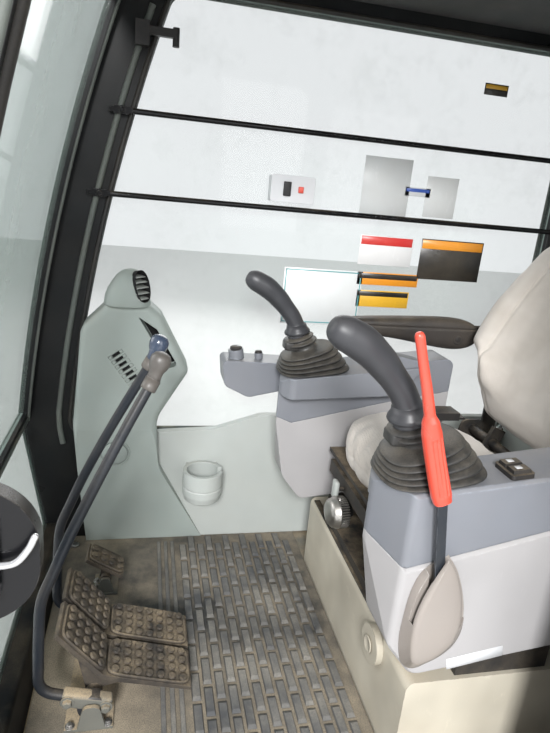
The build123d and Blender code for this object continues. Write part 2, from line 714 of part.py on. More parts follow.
SPLIT = [(-135, 578, 0), (-92, 560, 0), (155, 618, 0), (330, 652, 0)]
CONSOLE_LOW = [(*UNDER_FRONT, 30), (*UNDER_REAR, 0), *SPLIT[::-1], (-102, 410, 60)]
CONSOLE_HIGH = [(*TOP_FRONT, 0), *SPLIT, (*TOP_REAR, 20), (*TOP_EDGE, 8)]
CONSOLE_PLAN = [(CONSOLE_OUTER_X, -100, 14), (CONSOLE_LOWER_X, -135, 40), (CONSOLE_INNER_X, -112, 20)]
LEFT_SHELF_REAR = 46.0
FOOT_ENDS = (60.0, 250.0)
FOOT_WIDTH = 61.0
RIGHT_SHELF_REAR = 230.0
RIGHT_CONSOLE_Y = -50.0
PIVOT_Y, PIVOT_Z = -58.0, 686.0
BOOT_Y = -46.0
WELL_RADIUS = 44.0
BOOT_RADIUS = 66.0
BOOT_RING = 12.0
COLLAR_Y, COLLAR_Z = -92.0, 778.0
SHAFT_RADIUS = 6.0
STICK_PIN = 5.0
GRIP_BEND = (-108.0, 846.0)


TOP_TILT = degrees(atan2(TOP_REAR[1] - TOP_EDGE[1], TOP_REAR[0] - TOP_EDGE[0]))


def console_plan():
    """Column over the console's shape from above, pointed at its rounded front."""
    rear = [(CONSOLE_INNER_X, TOP_REAR[0], 0), (CONSOLE_OUTER_X, TOP_REAR[0], 0)]
    return extrude(outline(CONSOLE_PLAN + rear), ROOF_RAIL_Z)


def console_lower():
    """Light lower moulding, rounded along its outer edges."""
    body = slab(CONSOLE_LOW, CONSOLE_LOWER_X, CONSOLE_OUTER_X)
    return chamfer(body.faces().sort_by(Axis.X)[-1].edges(), CONSOLE_EDGE) & console_plan()


def console_upper(shelf_rear):
    """Darker upper moulding with its inner shelf and the well of the stick's pivot."""
    body = slab(CONSOLE_HIGH, CONSOLE_LOWER_X, CONSOLE_OUTER_X)
    body = chamfer(body.faces().sort_by(Axis.X)[-1].edges(), CONSOLE_EDGE)
    y, z = TOP_FRONT
    shelf = [(y, z, 0), (y, z - 30, 12), (shelf_rear - 70, z - 14, 30)]
    shelf += [(shelf_rear, console_top_z(shelf_rear), 0), (*TOP_EDGE, 8)]
    body += slab(shelf, CONSOLE_INNER_X, CONSOLE_LOWER_X)
    body &= console_plan()
    well = Pos(STICK_X, BOOT_Y, PIVOT_Z - 18) * extrude(Circle(WELL_RADIUS), 90)
    half = WELL_RADIUS - 1
    pin = rod((STICK_X - half, PIVOT_Y, PIVOT_Z), (STICK_X + half, PIVOT_Y, PIVOT_Z), STICK_PIN)
    return body - well + pin


def console_foot():
    """Bracket from the riser up to the console's sloping underside."""
    y0, y1 = FOOT_ENDS
    corners = [(y0, RISER_TOP_Z, 0), (y1, RISER_TOP_Z, 0), (y1, console_under_z(y1), 0)]
    corners.append((y0, console_under_z(y0), 0))
    outer = RISER_WIDTH / 2 - RISER_WALL
    return slab(corners, outer - FOOT_WIDTH, outer)


def boot_base():
    """Lower ring of the bellows, clamped on the console round the well."""
    seat = Pos(STICK_X, BOOT_Y, console_top_z(BOOT_Y)) * Rot(TOP_TILT, 0, 0)
    ring = Cone(BOOT_RADIUS, BOOT_RADIUS - 8, BOOT_RING, align=(Align.CENTER, Align.CENTER, Align.MIN))
    hole = Cylinder(WELL_RADIUS + 2, BOOT_RING, align=(Align.CENTER, Align.CENTER, Align.MIN))
    return seat * (ring - hole)


def along_stick(distance):
    """Point of the stick's shaft at a distance from its pivot."""
    run = sqrt((COLLAR_Y - PIVOT_Y) ** 2 + (COLLAR_Z - PIVOT_Z) ** 2)
    share = distance / run
    return (STICK_X, PIVOT_Y + share * (COLLAR_Y - PIVOT_Y), PIVOT_Z + share * (COLLAR_Z - PIVOT_Z))


COLLAR_FOOT, COLLAR_HEAD = 84.0, 104.0


def stick_shaft():
    """Hub on the pivot pin, shaft and the collar that the bellows end in."""
    ends = (STICK_X - 14, PIVOT_Y, PIVOT_Z), (STICK_X + 14, PIVOT_Y, PIVOT_Z)
    shaft = rod((STICK_X, PIVOT_Y, PIVOT_Z), along_stick(COLLAR_FOOT + 4), SHAFT_RADIUS)
    collar = rod(along_stick(COLLAR_FOOT), along_stick(COLLAR_HEAD), 25)
    return rod(*ends, 11) + shaft + collar - rod(*ends, STICK_PIN + PIN_GAP)


def stick_grip():
    """Bent hand grip: a neck on the shaft's collar and a thicker body that leans forward."""
    start = Vector(*along_stick(COLLAR_HEAD))
    rise = start - Vector(*along_stick(COLLAR_FOOT))
    neck = turned([(0, 0), (25, 0), (18, 9), (18, 62), (0, 62)])
    body = turned([(0, -20), (15, -20), (20, -14), (20, 52), (25, 62), (25, 131), (18, 139), (0, 139)])
    lean = Vector(0, -214 - GRIP_BEND[0], 936 - GRIP_BEND[1])
    bend = Plane(origin=(STICK_X, *GRIP_BEND), x_dir=(1, 0, 0), z_dir=lean)
    return Plane(origin=start, x_dir=(1, 0, 0), z_dir=rise) * neck + bend * body


LOCK_PIVOT = (-30.0, 450.0)
LOCK_FOOT, LOCK_TIP = (-66.0, 690.0), (-148.0, 952.0)
LOCK_BAR = 5.0
LOCK_PIN = 7.0
LOCK_X = CONSOLE_OUTER_X + 17


def lock_lever_bar():
    """Flat steel bar of the lock lever with its hub."""
    y, z = LOCK_PIVOT
    foot_y, foot_z = LOCK_FOOT
    run_y, run_z = LOCK_TIP[0] - foot_y, LOCK_TIP[1] - foot_z
    half = 8 / sqrt(run_y**2 + run_z**2)
    top = (foot_y + half * run_z, foot_z - half * run_y, 0), (foot_y - half * run_z, foot_z + half * run_y, 0)
    bar = slab([(y - 8, z, 0), (y + 8, z, 0), *top], LOCK_X, LOCK_X + LOCK_BAR)
    bar += rod((LOCK_X, y, z), (LOCK_X + LOCK_BAR, y, z), 18)
    return bar - rod((LOCK_X - 1, y, z), (LOCK_X + 6, y, z), LOCK_PIN + PIN_GAP)


def lock_lever_grip():
    """Red grip, thick at its foot and slim above."""
    x = LOCK_X + LOCK_BAR / 2
    lean = Vector(0, LOCK_TIP[0] - LOCK_FOOT[0], LOCK_TIP[1] - LOCK_FOOT[1])
    length = lean.length
    profile = [(0, 0), (14, 0), (14, 92), (9, 100), (9, length - 4), (6, length), (0, length)]
    return Plane(origin=(x, *LOCK_FOOT), x_dir=(1, 0, 0), z_dir=lean) * turned(profile)


def lock_lever_cover():
    """Teardrop cover over the lever's pivot, open at the top."""
    drop = [(-43, 583, 18), (20, 500, 60), (18, 405, 40), (-37, 346, 40), (-92, 420, 40), (-78, 510, 50)]
    plate = slab(drop, LOCK_X + 10.5, LOCK_X + 17)
    plate = chamfer(plate.faces().sort_by(Axis.X)[-1].edges(), 4)
    skirt = slab(drop, CONSOLE_OUTER_X, LOCK_X + 10.5)
    inner = [(-120, 620, 0), (60, 620, 0), (60, 395, 0), (-37, 372, 20), (-120, 395, 0)]
    pin = rod((CONSOLE_OUTER_X, *LOCK_PIVOT), (LOCK_X + 10.5, *LOCK_PIVOT), LOCK_PIN)
    return plate + (skirt - slab(inner, CONSOLE_OUTER_X, LOCK_X + 10.5)) + pin


def console_switches():
    """Rocker switches on the left console's top."""
    y = 88.0
    plate = extrude(RectangleRounded(54, 42, 6), 8)
    for x in (-12, 12):
        plate += Pos(x, 0, 8) * extrude(Rectangle(20, 32), 6, taper=12)
    return Pos(313, y, console_top_z(y)) * Rot(TOP_TILT, 0, 0) * plate


def monitor_pod():
    """Switch pod beside the right console, with its dial."""
    x0, x1 = -CONSOLE_OUTER_X - 84, -CONSOLE_OUTER_X
    body = slab([(-312, 690, 12), (-305, 622, 20), (-240, 590, 30), (-96, 622, 10), (-96, 684, 10)], x0, x1)
    body += rod((-384, -272, 688), (-384, -276, 712), 20)
    body += rod((-384, -212, 688), (-384, -214, 704), 11)
    return body


def key_box():
    """Ignition box on the right console's shelf."""
    y0, y1 = 40.0, 170.0
    z0, z1 = console_top_z(y0 - RIGHT_CONSOLE_Y), console_top_z(y1 - RIGHT_CONSOLE_Y)
    corners = [(y0, z0, 0), (y1, z1, 0), (y1, z1 + 14, 6), (y0 + 50, z0 + 44, 10), (y0 + 14, z0 + 40, 10)]
    box = slab(corners, -252, -206)
    return box + rod((-206, y0 + 44, z0 + 24), (-198, y0 + 44, z0 + 24), 9)


def belt_buckle():
    """Belt buckle lying on the cushion's edge, on its strap."""
    z = CUSHION_TOP_Z + 0.3
    buckle = block(-222, -170, 205, 279, z, z + 20)
    return buckle + block(-214, -178, 279, 300, z, z + 5)


COLUMN = [(-662, FLOOR_Z, 0), (-690, 480, 160), (-668, 748, 50), (-606, 812, 14), (-498, 812, 14)]
COLUMN += [(-470, 788, 30), (-392, 640, 26), (-474, 500, 90), (-464, 350, 120), (-330, FLOOR_Z, 0)]
COLUMN_DEPTH = 78.0
COLUMN_FOOT = 26.0


def trim_column():
    """Moulded column in the front right corner, with its slotted outlet and its scoop."""
    face = -INNER + COLUMN_DEPTH
    column = slab(COLUMN, -INNER, face)
    outer = column.faces().sort_by(Axis.X)[-1]
    column = fillet(outer.edges().filter_by(lambda e: e.center().Z > FLOOR_Z + 1), 18)
    lean = degrees(atan2(601 - 689, -524 + 586))
    slots = Part()
    for step in range(-3, 4):
        slots += Pos(0, step * 15, 0) * Box(24, 9, 42)
    scoop = slab([(-526, 782, 0), (-480, 752, 8), (-424, 656, 8), (-446, 648, 4)], face - 38, face)
    foot = [(face, 470, 0), (-INNER + COLUMN_FOOT, FLOOR_Z, 0), (face, FLOOR_Z, 0)]
    column -= scoop + extrude(front(-300) * outline(foot), 450)
    return column - Pos(face, -555, 645) * Rot(lean, 0, 0) * slots


VENT_SIDES = 20


def defroster_vent():
    """Domed outlet on top of the column, with louvres facing the operator."""
    dome = Part()
    z = 0
    for radius, rise, taper in ((46, 46, 4), (42.8, 26, 24), (31.2, 13, 48)):
        dome += extrude(Pos(0, 0, z) * RegularPolygon(radius, VENT_SIDES), rise, taper=taper)
        z += rise
    mouth = Pos(26, 26, 40) * Rot(0, 0, 45)
    dome -= mouth * Box(60, 52, 52)
    for step in (-13, 0, 13):
        dome += mouth * Pos(-20, 0, step) * Box(22, 54, 3)
    return Pos(-INNER + 48, -550, 812) * dome


def side_trim():
    """Moulded skirting under the right window, with the cup holder that stands out from it."""
    corners = [(-480, FLOOR_Z, 0), (-480, 440, 0), (-307, 450, 60), (-173, 494, 60)]
    corners += [(600, 494, 0), (600, FLOOR_Z, 0)]
    skirting = slab(corners, -INNER, -INNER + TRIM) - slab(COLUMN, -INNER, -INNER + TRIM)
    return skirting + cup_holder()


def cup_holder():
    """Round cup holder that stands out from the skirting."""
    x, y, z0, z1 = -INNER + TRIM + 58, -341.0, 258.0, 352.0
    depth = z1 - z0
    bowl = [(0, 0), (36, 0), (50, 9), (55, 26), (56, 45), (54, 47), (54, 49), (56, 51)]
    bowl += [(56, depth), (0, depth)]
    cup = Pos(x, y, z0) * turned(bowl) + block(-INNER + TRIM, x, y - 44, y + 44, z0 + 20, z1 - 6)
    cup -= Pos(x, y, z0 + 10) * extrude(Circle(45), depth)
    return cup - block(x - 12, x + 12, y + 40, y + 60, z1 - 26, z1)


def switch_box():
    """White control box on the right glass, with its rocker."""
    x = -HALF + 16 + GLASS
    box = block(x, x + 34, -201, -83, 1092, 1160)
    return fillet(box.edges().filter_by(Axis.X), 6)


def rear_shelf():
    """Box shelf behind the seat."""
    corners = [(640, BASE_HEIGHT, 0), (REAR_Y - WALL, BASE_HEIGHT, 0), (REAR_Y - WALL, 600, 0)]
    corners += [(730, 600, 30), (640, 540, 40)]
    return slab(corners, -INNER, INNER)


PEDAL_HEEL = (-400.0, 141.0)
PEDAL_KINK = (-572.0, 190.0)
PEDAL_TOE = (-654.0, 292.0)


def pedal_bracket():
    """Floor plate with three ears and the cross shaft of the travel pedals."""
    y, z = PEDAL_SHAFT_Y, PEDAL_SHAFT_Z
    left, right = PEDAL_CENTRES
    ends = (right - LEVER_OUTBOARD - 24, (left + right) / 2 - 8, left + LEVER_OUTBOARD + 16)
    bracket = block(ends[0], ends[2] + 8, y - 50, y + 40, FLOOR_Z, FLOOR_Z + 6)
    for x, width in zip(ends, (8, 16, 8)):
        ear = [(y - 26, FLOOR_Z + 6, 0), (y + 26, FLOOR_Z + 6, 0), (y + 15, z + 15, 14), (y - 15, z + 15, 14)]
        bracket += slab(ear, x, x + width)
    return bracket + rod((ends[0], y, z), (ends[2] + 8, y, z), PEDAL_SHAFT_RADIUS)


def travel_pedal(centre, outboard):
    """Bent pedal plate with ribs on its hub."""
    half = PEDAL_WIDTH / 2
    (hy, hz), (ky, kz), (ty, tz) = PEDAL_HEEL, PEDAL_KINK, PEDAL_TOE
    t = PEDAL_PLATE
    plate = slab([(hy, hz, 0), (ky, kz, 12), (ty, tz, 0), (ty - t, tz - 6, 0), (ky - 4, kz - t - 3, 12),
                  (hy - 1, hz - t, 0)], centre - half, centre + half)
    y, z = PEDAL_SHAFT_Y, PEDAL_SHAFT_Z
    x0, x1 = centre - outboard * (half - 8), centre + outboard * (LEVER_OUTBOARD + 12)
    hub = rod((x0, y, z), (x1, y, z), HUB_RADIUS)
    for x in (-28, 28):
        web = [(y - 14, z, 0), (y + 60, z + 17, 0), (ky + 30, kz - 16, 0)]
        web += [(ky - 10, kz + 2, 0), (y - 30, z + 84, 0)]
        hub += slab(web, centre + x - 4, centre + x + 4)
    hub -= rod((x0, y, z), (x1, y, z), PEDAL_SHAFT_RADIUS + PIN_GAP)
    return plate + hub


def travel_lever(centre, outboard, top_x):
    """Bent lever that rises from the hub's outer end."""
    x = centre + outboard * LEVER_OUTBOARD
    foot = (x, PEDAL_SHAFT_Y, PEDAL_SHAFT_Z + 12)
    points = [foot, (x, -684, 182), (x, -682, 380), (top_x, -494, 778)]
    y, z = PEDAL_SHAFT_Y, PEDAL_SHAFT_Z
    clamp = rod((x - 10, y, z), (x + 10, y, z), HUB_RADIUS + 7)
    lever = tube_along(points, (24, 90), LEVER_RADIUS) + clamp
    return lever - rod((x - 40, y, z), (x + 40, y, z), HUB_RADIUS + 0.3)


def travel_grip(top_x):
    """Knob on the lever's top."""
    knob = turned([(0, 0), (13, 0), (17, 6), (17, 42), (13, 48), (0, 48)])
    return Pos(top_x, -494, 778) * Rot(20, 0, 0) * knob


def aux_pedal():
    """Small studded pedal on its own pin."""
    plate = slab([(-548, 150, 0), (-636, 204, 0), (-641, 196, 0), (-553, 142, 0)], -286, -217)
    hub = rod((-276, -592, 134), (-227, -592, 134), 13)
    web = slab([(-604, 134, 0), (-580, 134, 0), (-576, 160, 0), (-606, 178, 0)], -262, -241)
    return plate + hub + web - rod((-290, -592, 134), (-210, -592, 134), 7 + PIN_GAP)


def aux_bracket():
    """Two ears and the pin of the small pedal."""
    bracket = block(-292, -211, -622, -562, FLOOR_Z, FLOOR_Z + 5)
    ear = [(-612, FLOOR_Z + 5, 0), (-572, FLOOR_Z + 5, 0), (-582, 145, 8), (-602, 145, 8)]
    for x in (-288, -223):
        bracket += slab(ear, x, x + 8)
    return bracket + rod((-288, -592, 134), (-215, -592, 134), 7)


def main():
    write("base_frame", base_frame())
    write("floor_mat", floor_mat())
    write("right_side_frame", side_wall([right_window_face()], -HALF))
    write("left_side_frame", side_wall([door_opening_face(), quarter_window_face()], INNER))
    write("rear_wall", rear_wall())
    write("front_cross_members", front_header() + front_sill())
    write("front_window_sash", front_window_sash())
    write("front_glass", front_upper_glass() + front_lower_glass())
    quarter_glass = pane(quarter_window_face(), HALF - 22)
    write("right_side_glass", pane(right_window_face(), -HALF + 16))
    write("rear_and_quarter_glass", rear_glass() + quarter_glass)
    write("roof", roof())
    write("roof_lining", roof_lining())
    write("guard_bars", guard_bars())
    write("window_hooks", window_hooks())
    write("door_striker", door_striker())
    write("striker_bar", striker_bar())
    write("hinge_brackets", door_hinge_brackets() + hatch_hinges())

    leaf, upper_pane, lower_pane = door_closed()
    write("door_leaf", swung(leaf))
    write("door_glass", swung(upper_pane + lower_pane))
    write("door_handle", swung(door_handle()))
    write("door_hinge_leaves", swung(door_hinge_leaves()))
    write("hatch_lid", hatch_lid() + hatch_grip())

    write("seat_riser", seat_riser())
    write("seat_suspension", seat_suspension())
    write("suspension_knobs", suspension_knobs())
    write("seat_pan", seat_pan())
    write("seat_cushion", seat_cushion())
    write("belt_buckle", belt_buckle())
    write("seat_backrest", seat_backrest())
    write("headrest", headrest())
    write("backrest_frame", recliner())
    write("armrest_plates", armrest_plates())
    write("armrest_right", armrest(-1))
    write("armrest_left", raised(armrest(1)))

    shift = Pos(0, RIGHT_CONSOLE_Y, 0)
    write("left_console_lower", console_lower())
    write("left_console_upper", console_upper(LEFT_SHELF_REAR))
    write("right_console_lower", shift * mirrored(console_lower()))
    write("right_console_upper", shift * mirrored(console_upper(RIGHT_SHELF_REAR)))
    write("console_feet", console_foot() + shift * mirrored(console_foot()))
    write("boot_rings", boot_base() + shift * mirrored(boot_base()))
    write("left_stick", stick_shaft() + stick_grip())
    write("right_stick", shift * mirrored(stick_shaft() + stick_grip()))
    write("lock_lever_bar", lock_lever_bar())
    write("lock_lever_grip", lock_lever_grip())
    write("lock_lever_cover", lock_lever_cover())
    write("console_switches", console_switches())
    write("monitor_pod", monitor_pod())
    write("key_box", key_box())

    write("trim_column", trim_column())
    write("defroster_vent", defroster_vent())
    write("side_trim", side_trim())
    write("switch_box", switch_box())
    write("rear_shelf", rear_shelf())
    write("pedal_brackets", pedal_bracket() + aux_bracket())
    for name, centre, top_x, outboard in zip(("left", "right"), PEDAL_CENTRES, LEVER_TOPS, (1, -1)):
        write(f"travel_pedal_{name}", travel_pedal(centre, outboard))
        write(f"travel_lever_{name}", travel_lever(centre, outboard, top_x) + travel_grip(top_x))
    write("aux_pedal", aux_pedal())


if __name__ == "__main__":
    main()
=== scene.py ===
"""Looks of the excavator operator's cab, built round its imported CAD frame.

Metres, in the frame's own axes: +X is the operator's left (the door side), the front is -Y and +Z is up.
Tables of points are in millimetres and go through mm().
"""
import json
import math

import bmesh
import bpy
import numpy as np
from bpy.props import FloatProperty, FloatVectorProperty, IntProperty, PointerProperty
from mathutils import Matrix, Vector


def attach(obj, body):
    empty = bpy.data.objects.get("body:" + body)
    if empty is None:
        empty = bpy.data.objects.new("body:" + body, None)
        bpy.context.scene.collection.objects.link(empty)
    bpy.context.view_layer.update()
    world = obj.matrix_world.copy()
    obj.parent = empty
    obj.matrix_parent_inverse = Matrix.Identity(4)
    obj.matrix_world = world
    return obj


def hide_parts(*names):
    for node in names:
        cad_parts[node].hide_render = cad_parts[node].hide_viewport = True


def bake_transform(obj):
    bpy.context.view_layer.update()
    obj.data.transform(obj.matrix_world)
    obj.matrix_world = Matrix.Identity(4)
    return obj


bl_info = {
    "name": "Operator's cab dresser",
    "version": (1, 0, 0),
    "blender": (4, 5, 0),
    "location": "View3D > Sidebar > Cab",
    "description": "Dresses a packed excavator cab with upholstery, rubber, plastics, glass and paint",
    "category": "Object",
}

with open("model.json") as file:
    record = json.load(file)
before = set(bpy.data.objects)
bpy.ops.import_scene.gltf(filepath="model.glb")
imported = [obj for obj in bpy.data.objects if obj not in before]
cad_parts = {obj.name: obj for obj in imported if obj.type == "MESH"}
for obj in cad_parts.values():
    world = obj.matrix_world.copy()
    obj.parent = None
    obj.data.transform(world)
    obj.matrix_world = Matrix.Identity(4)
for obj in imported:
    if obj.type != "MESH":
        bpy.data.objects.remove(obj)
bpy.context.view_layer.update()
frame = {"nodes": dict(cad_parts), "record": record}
NODES = frame["nodes"]
SLOT_OF = {row["node"]: row["material_slot"] for row in frame["record"]["subparts"]}

INNER_X = 0.480
OUTER_X = 0.525
BACK_LEAN = math.radians(22)
BACK_PIVOT = Vector((0, 0.352, 0.560))
CONSOLE_SHIFT = Vector((0, -0.050, 0))
ARC_CENTRE = (3.79123, 0.00047)
FRONT_RADIUS = 4.650
KNEE = (-0.835, 0.470)
BASE_FRONT = (-0.775, 0.092)


def mm(*point):
    """A point given in millimetres."""
    return Vector(point) * 0.001


X, Y, Z = Vector((1.0, 0.0, 0.0)), Vector((0.0, 1.0, 0.0)), Vector((0.0, 0.0, 1.0))


def front_y(z, inset=0.0):
    """Y of the cab's front at a height."""
    if z < KNEE[1]:
        share = (z - BASE_FRONT[1]) / (KNEE[1] - BASE_FRONT[1])
        return BASE_FRONT[0] + share * (KNEE[0] - BASE_FRONT[0]) + inset
    return ARC_CENTRE[0] - math.sqrt((FRONT_RADIUS - inset) ** 2 - (z - ARC_CENTRE[1]) ** 2)


# Sizes and colours that a user would change


class CabSizes(bpy.types.PropertyGroup):
    fold_count: IntProperty(
        name="Bellows folds", description="Folds in each stick's bellows", default=5, min=2, max=8
    )
    stud_pitch: FloatProperty(
        name="Stud pitch", description="Distance between the pedal studs", default=0.0232, unit="LENGTH"
    )
    stud_radius: FloatProperty(
        name="Stud radius", description="Radius of a pedal stud", default=0.0084, unit="LENGTH"
    )
    rib_length: FloatProperty(
        name="Mat rib length", description="Length of one raised rib of the mat", default=0.072, unit="LENGTH"
    )
    rib_width: FloatProperty(
        name="Mat rib width", description="Width of one raised rib of the mat", default=0.0190, unit="LENGTH"
    )
    rib_gap: FloatProperty(
        name="Mat rib gap", description="Groove between the mat's ribs", default=0.0068, unit="LENGTH"
    )
    seal_radius: FloatProperty(
        name="Seal radius", description="Half width of the window seals", default=0.0062, unit="LENGTH"
    )
    dust: FloatProperty(
        name="Dust", description="How much dust lies on the cab", default=1.0, min=0, max=2, subtype="FACTOR"
    )


def colour_property(name, description, default):
    return FloatVectorProperty(
        name=name, description=description, default=default, size=3, min=0, max=1, subtype="COLOR"
    )


class CabColours(bpy.types.PropertyGroup):
    frame_paint: colour_property("Frame paint", "Black paint of the cab's frame", (0.010, 0.011, 0.012))
    riser_paint: colour_property("Riser paint", "Paint of the seat's riser", (0.56, 0.52, 0.43))
    console_light: colour_property("Console, lower", "Lower mouldings of the consoles", (0.385, 0.375, 0.378))
    console_dark: colour_property("Console, upper", "Upper mouldings of the consoles", (0.195, 0.205, 0.230))
    trim: colour_property("Column", "Moulded column and outlet", (0.36, 0.41, 0.388))
    trim_light: colour_property("Skirting", "Skirting and cup holder", (0.465, 0.495, 0.475))
    fabric: colour_property("Seat fabric", "Perforated fabric of the seat", (0.68, 0.63, 0.575))
    lever_red: colour_property("Lock lever", "Grip of the lock lever", (0.72, 0.075, 0.045))
    lever_steel: colour_property("Lever tubes", "Paint of the travel levers", (0.014, 0.019, 0.027))
    dust: colour_property("Dust", "Dust on floor and pedals", (0.46, 0.36, 0.235))


def sizes():
    return bpy.context.scene.cab_sizes


def colours():
    return bpy.context.scene.cab_colours


# Node trees


class Tree:
    """Short way to write the nodes of one tree."""

    def __init__(self, tree):
        self.tree = tree

    def add(self, kind, inputs=None, **settings):
        node = self.tree.nodes.new(kind)
        for key, value in settings.items():
            setattr(node, key, value)
        for key, value in (inputs or {}).items():
            self.feed(value, node.inputs[key])
        return node

    def feed(self, value, socket):
        if isinstance(value, bpy.types.NodeSocket):
            self.tree.links.new(value, socket)
        else:
            socket.default_value = value

    def geo(self, kind, inputs=None, **settings):
        return self.add("GeometryNode" + kind, inputs, **settings).outputs[0]

    def math(self, operation, first, second=0.5, clamp=False):
        inputs = {0: first, 1: second}
        return self.add("ShaderNodeMath", inputs, operation=operation, use_clamp=clamp).outputs[0]

    def times(self, first, second, clamp=False):
        return self.math("MULTIPLY", first, second, clamp)

    def plus(self, first, second, clamp=False):
        return self.math("ADD", first, second, clamp)

    def blend(self, share, first, second):
        return self.add("ShaderNodeMix", {0: share, 6: first, 7: second}, data_type="RGBA").outputs[2]

    def span(self, value, low, high, to_low=0.0, to_high=1.0):
        inputs = {"Value": value, "From Min": low, "From Max": high, "To Min": to_low, "To Max": to_high}
        return self.add("ShaderNodeMapRange", inputs).outputs[0]

    def place(self):
        return self.add("ShaderNodeTexCoord").outputs["Object"]

    def noise(self, vector, scale, detail=3.0, roughness=0.55):
        inputs = {"Vector": vector, "Scale": scale, "Detail": detail, "Roughness": roughness}
        return self.add("ShaderNodeTexNoise", inputs).outputs["Fac"]

    def cells(self, vector, scale, randomness=1.0):
        inputs = {"Vector": vector, "Scale": scale, "Randomness": randomness}
        return self.add("ShaderNodeTexVoronoi", inputs).outputs["Distance"]

    def combine(self, x, y, z):
        return self.add("ShaderNodeCombineXYZ", {0: x, 1: y, 2: z}).outputs[0]

    def part(self, vector, axis):
        return self.add("ShaderNodeSeparateXYZ", {0: vector}).outputs[axis]


FLOAT, VECTOR = "NodeSocketFloat", "NodeSocketVector"


def shader_group(name, given, out, build):
    """A shader node group, built once: its inputs' defaults, None for a vector, and its outputs' kinds."""
    if name in bpy.data.node_groups:
        return bpy.data.node_groups[name]
    group = bpy.data.node_groups.new(name, "ShaderNodeTree")
    for label, default in given.items():
        kind = VECTOR if default is None else FLOAT
        socket = group.interface.new_socket(label, in_out="INPUT", socket_type=kind)
        if default is not None:
            socket.default_value = default
    for label, kind in out.items():
        group.interface.new_socket(label, in_out="OUTPUT", socket_type=kind)
    tree = Tree(group)
    build(tree, tree.add("NodeGroupInput").outputs, tree.add("NodeGroupOutput").inputs)
    return group


def dust_group():
    """Dust that settles on upward faces and in patches."""

    def build(tree, given, out):
        place = tree.place()
        up = tree.span(tree.part(tree.add("ShaderNodeNewGeometry").outputs["Normal"], 2), 0.15, 0.95)
        patches = tree.span(tree.noise(place, given["Scale"], 5.0, 0.62), 0.36, 0.66)
        fine = tree.span(tree.noise(place, 420.0, 2.0), 0.30, 0.62, 0.45, 1.0)
        settled = tree.plus(tree.times(up, given["Settled"]), given["Smeared"])
        mask = tree.times(tree.times(settled, patches), fine)
        tree.feed(tree.times(mask, 1.0, clamp=True), out["Mask"])

    given = {"Scale": 9.0, "Settled": 0.5, "Smeared": 0.1}
    return shader_group("Settled dust", given, {"Mask": FLOAT}, build)


def wear_group():
    """Rubbed edges, found from how far the rounded normal leans from the flat one."""

    def build(tree, given, out):
        place = tree.place()
        soft = tree.add("ShaderNodeBevel", {"Radius": given["Radius"]}, samples=4).outputs[0]
        flat = tree.add("ShaderNodeNewGeometry").outputs["Normal"]
        lean = tree.add("ShaderNodeVectorMath", {0: soft, 1: flat}, operation="DOT_PRODUCT").outputs["Value"]
        edge = tree.span(lean, 0.985, 0.86)
        broken = tree.span(tree.noise(place, 65.0, 4.0), 0.42, 0.62)
        tree.feed(tree.times(edge, broken), out["Mask"])
        tree.feed(soft, out["Soft normal"])

    return shader_group("Rubbed edges", {"Radius": 0.002}, {"Mask": FLOAT, "Soft normal": VECTOR}, build)


def grain_group():
    """Fine moulded grain with slow waviness and scattered scuffs."""

    def build(tree, given, out):
        place = tree.place()
        cells = tree.cells(place, given["Scale"])
        slow = tree.noise(place, 6.0, 2.0)
        tree.feed(tree.plus(tree.times(cells, 0.6), tree.times(slow, 0.4)), out["Height"])
        inputs = {"Vector": place, "Scale": (14.0, 60.0, 22.0), "Rotation": (0.5, 0.3, 0.2)}
        stretched = tree.add("ShaderNodeMapping", inputs).outputs[0]
        tree.feed(tree.span(tree.noise(stretched, 1.0, 6.0, 0.7), 0.60, 0.74), out["Scuffs"])
        tree.feed(tree.span(slow, 0.3, 0.7), out["Slow"])

    out = {"Height": FLOAT, "Scuffs": FLOAT, "Slow": FLOAT}
    return shader_group("Moulded grain", {"Scale": 900.0}, out, build)


def weave_group():
    """Knitted cloth with rows of small perforations, on the X and Y of the given vector."""

    def build(tree, given, out):
        laid = given["Vector"]
        flat = tree.add("ShaderNodeMapping", {"Vector": laid, "Scale": (1.0, 1.0, 0.0)}).outputs[0]
        dots = tree.span(tree.cells(flat, given["Holes"], 0.0), 0.19, 0.12)
        hole = tree.times(dots, tree.span(tree.noise(laid, 34.0, 3.0), 0.40, 0.62, 0.15, 0.8))
        threads = tree.cells(flat, given["Threads"], 0.55)
        fuzz = tree.noise(laid, 240.0, 3.0)
        knit = tree.plus(tree.times(threads, 0.5), tree.times(fuzz, 0.3))
        tree.feed(tree.math("SUBTRACT", knit, hole), out["Height"])
        # The holes' mask, which the cloth material darkens as painted shade
        tree.feed(hole, out["Holes"])
        tree.feed(tree.plus(tree.times(threads, 0.5), tree.times(fuzz, 0.5)), out["Shade"])

    given = {"Vector": None, "Holes": 260.0, "Threads": 900.0}
    return shader_group("Perforated weave", given, {"Height": FLOAT, "Holes": FLOAT, "Shade": FLOAT}, build)


# Materials


def scaled(colour, factor):
    return tuple(min(1.0, c * factor) for c in colour[:3]) + (1.0,)


def new_material(name):
    material = bpy.data.materials.new(name)
    material.use_nodes = True
    tree = Tree(material.node_tree)
    shader = material.node_tree.nodes["Principled BSDF"]
    return material, tree, shader


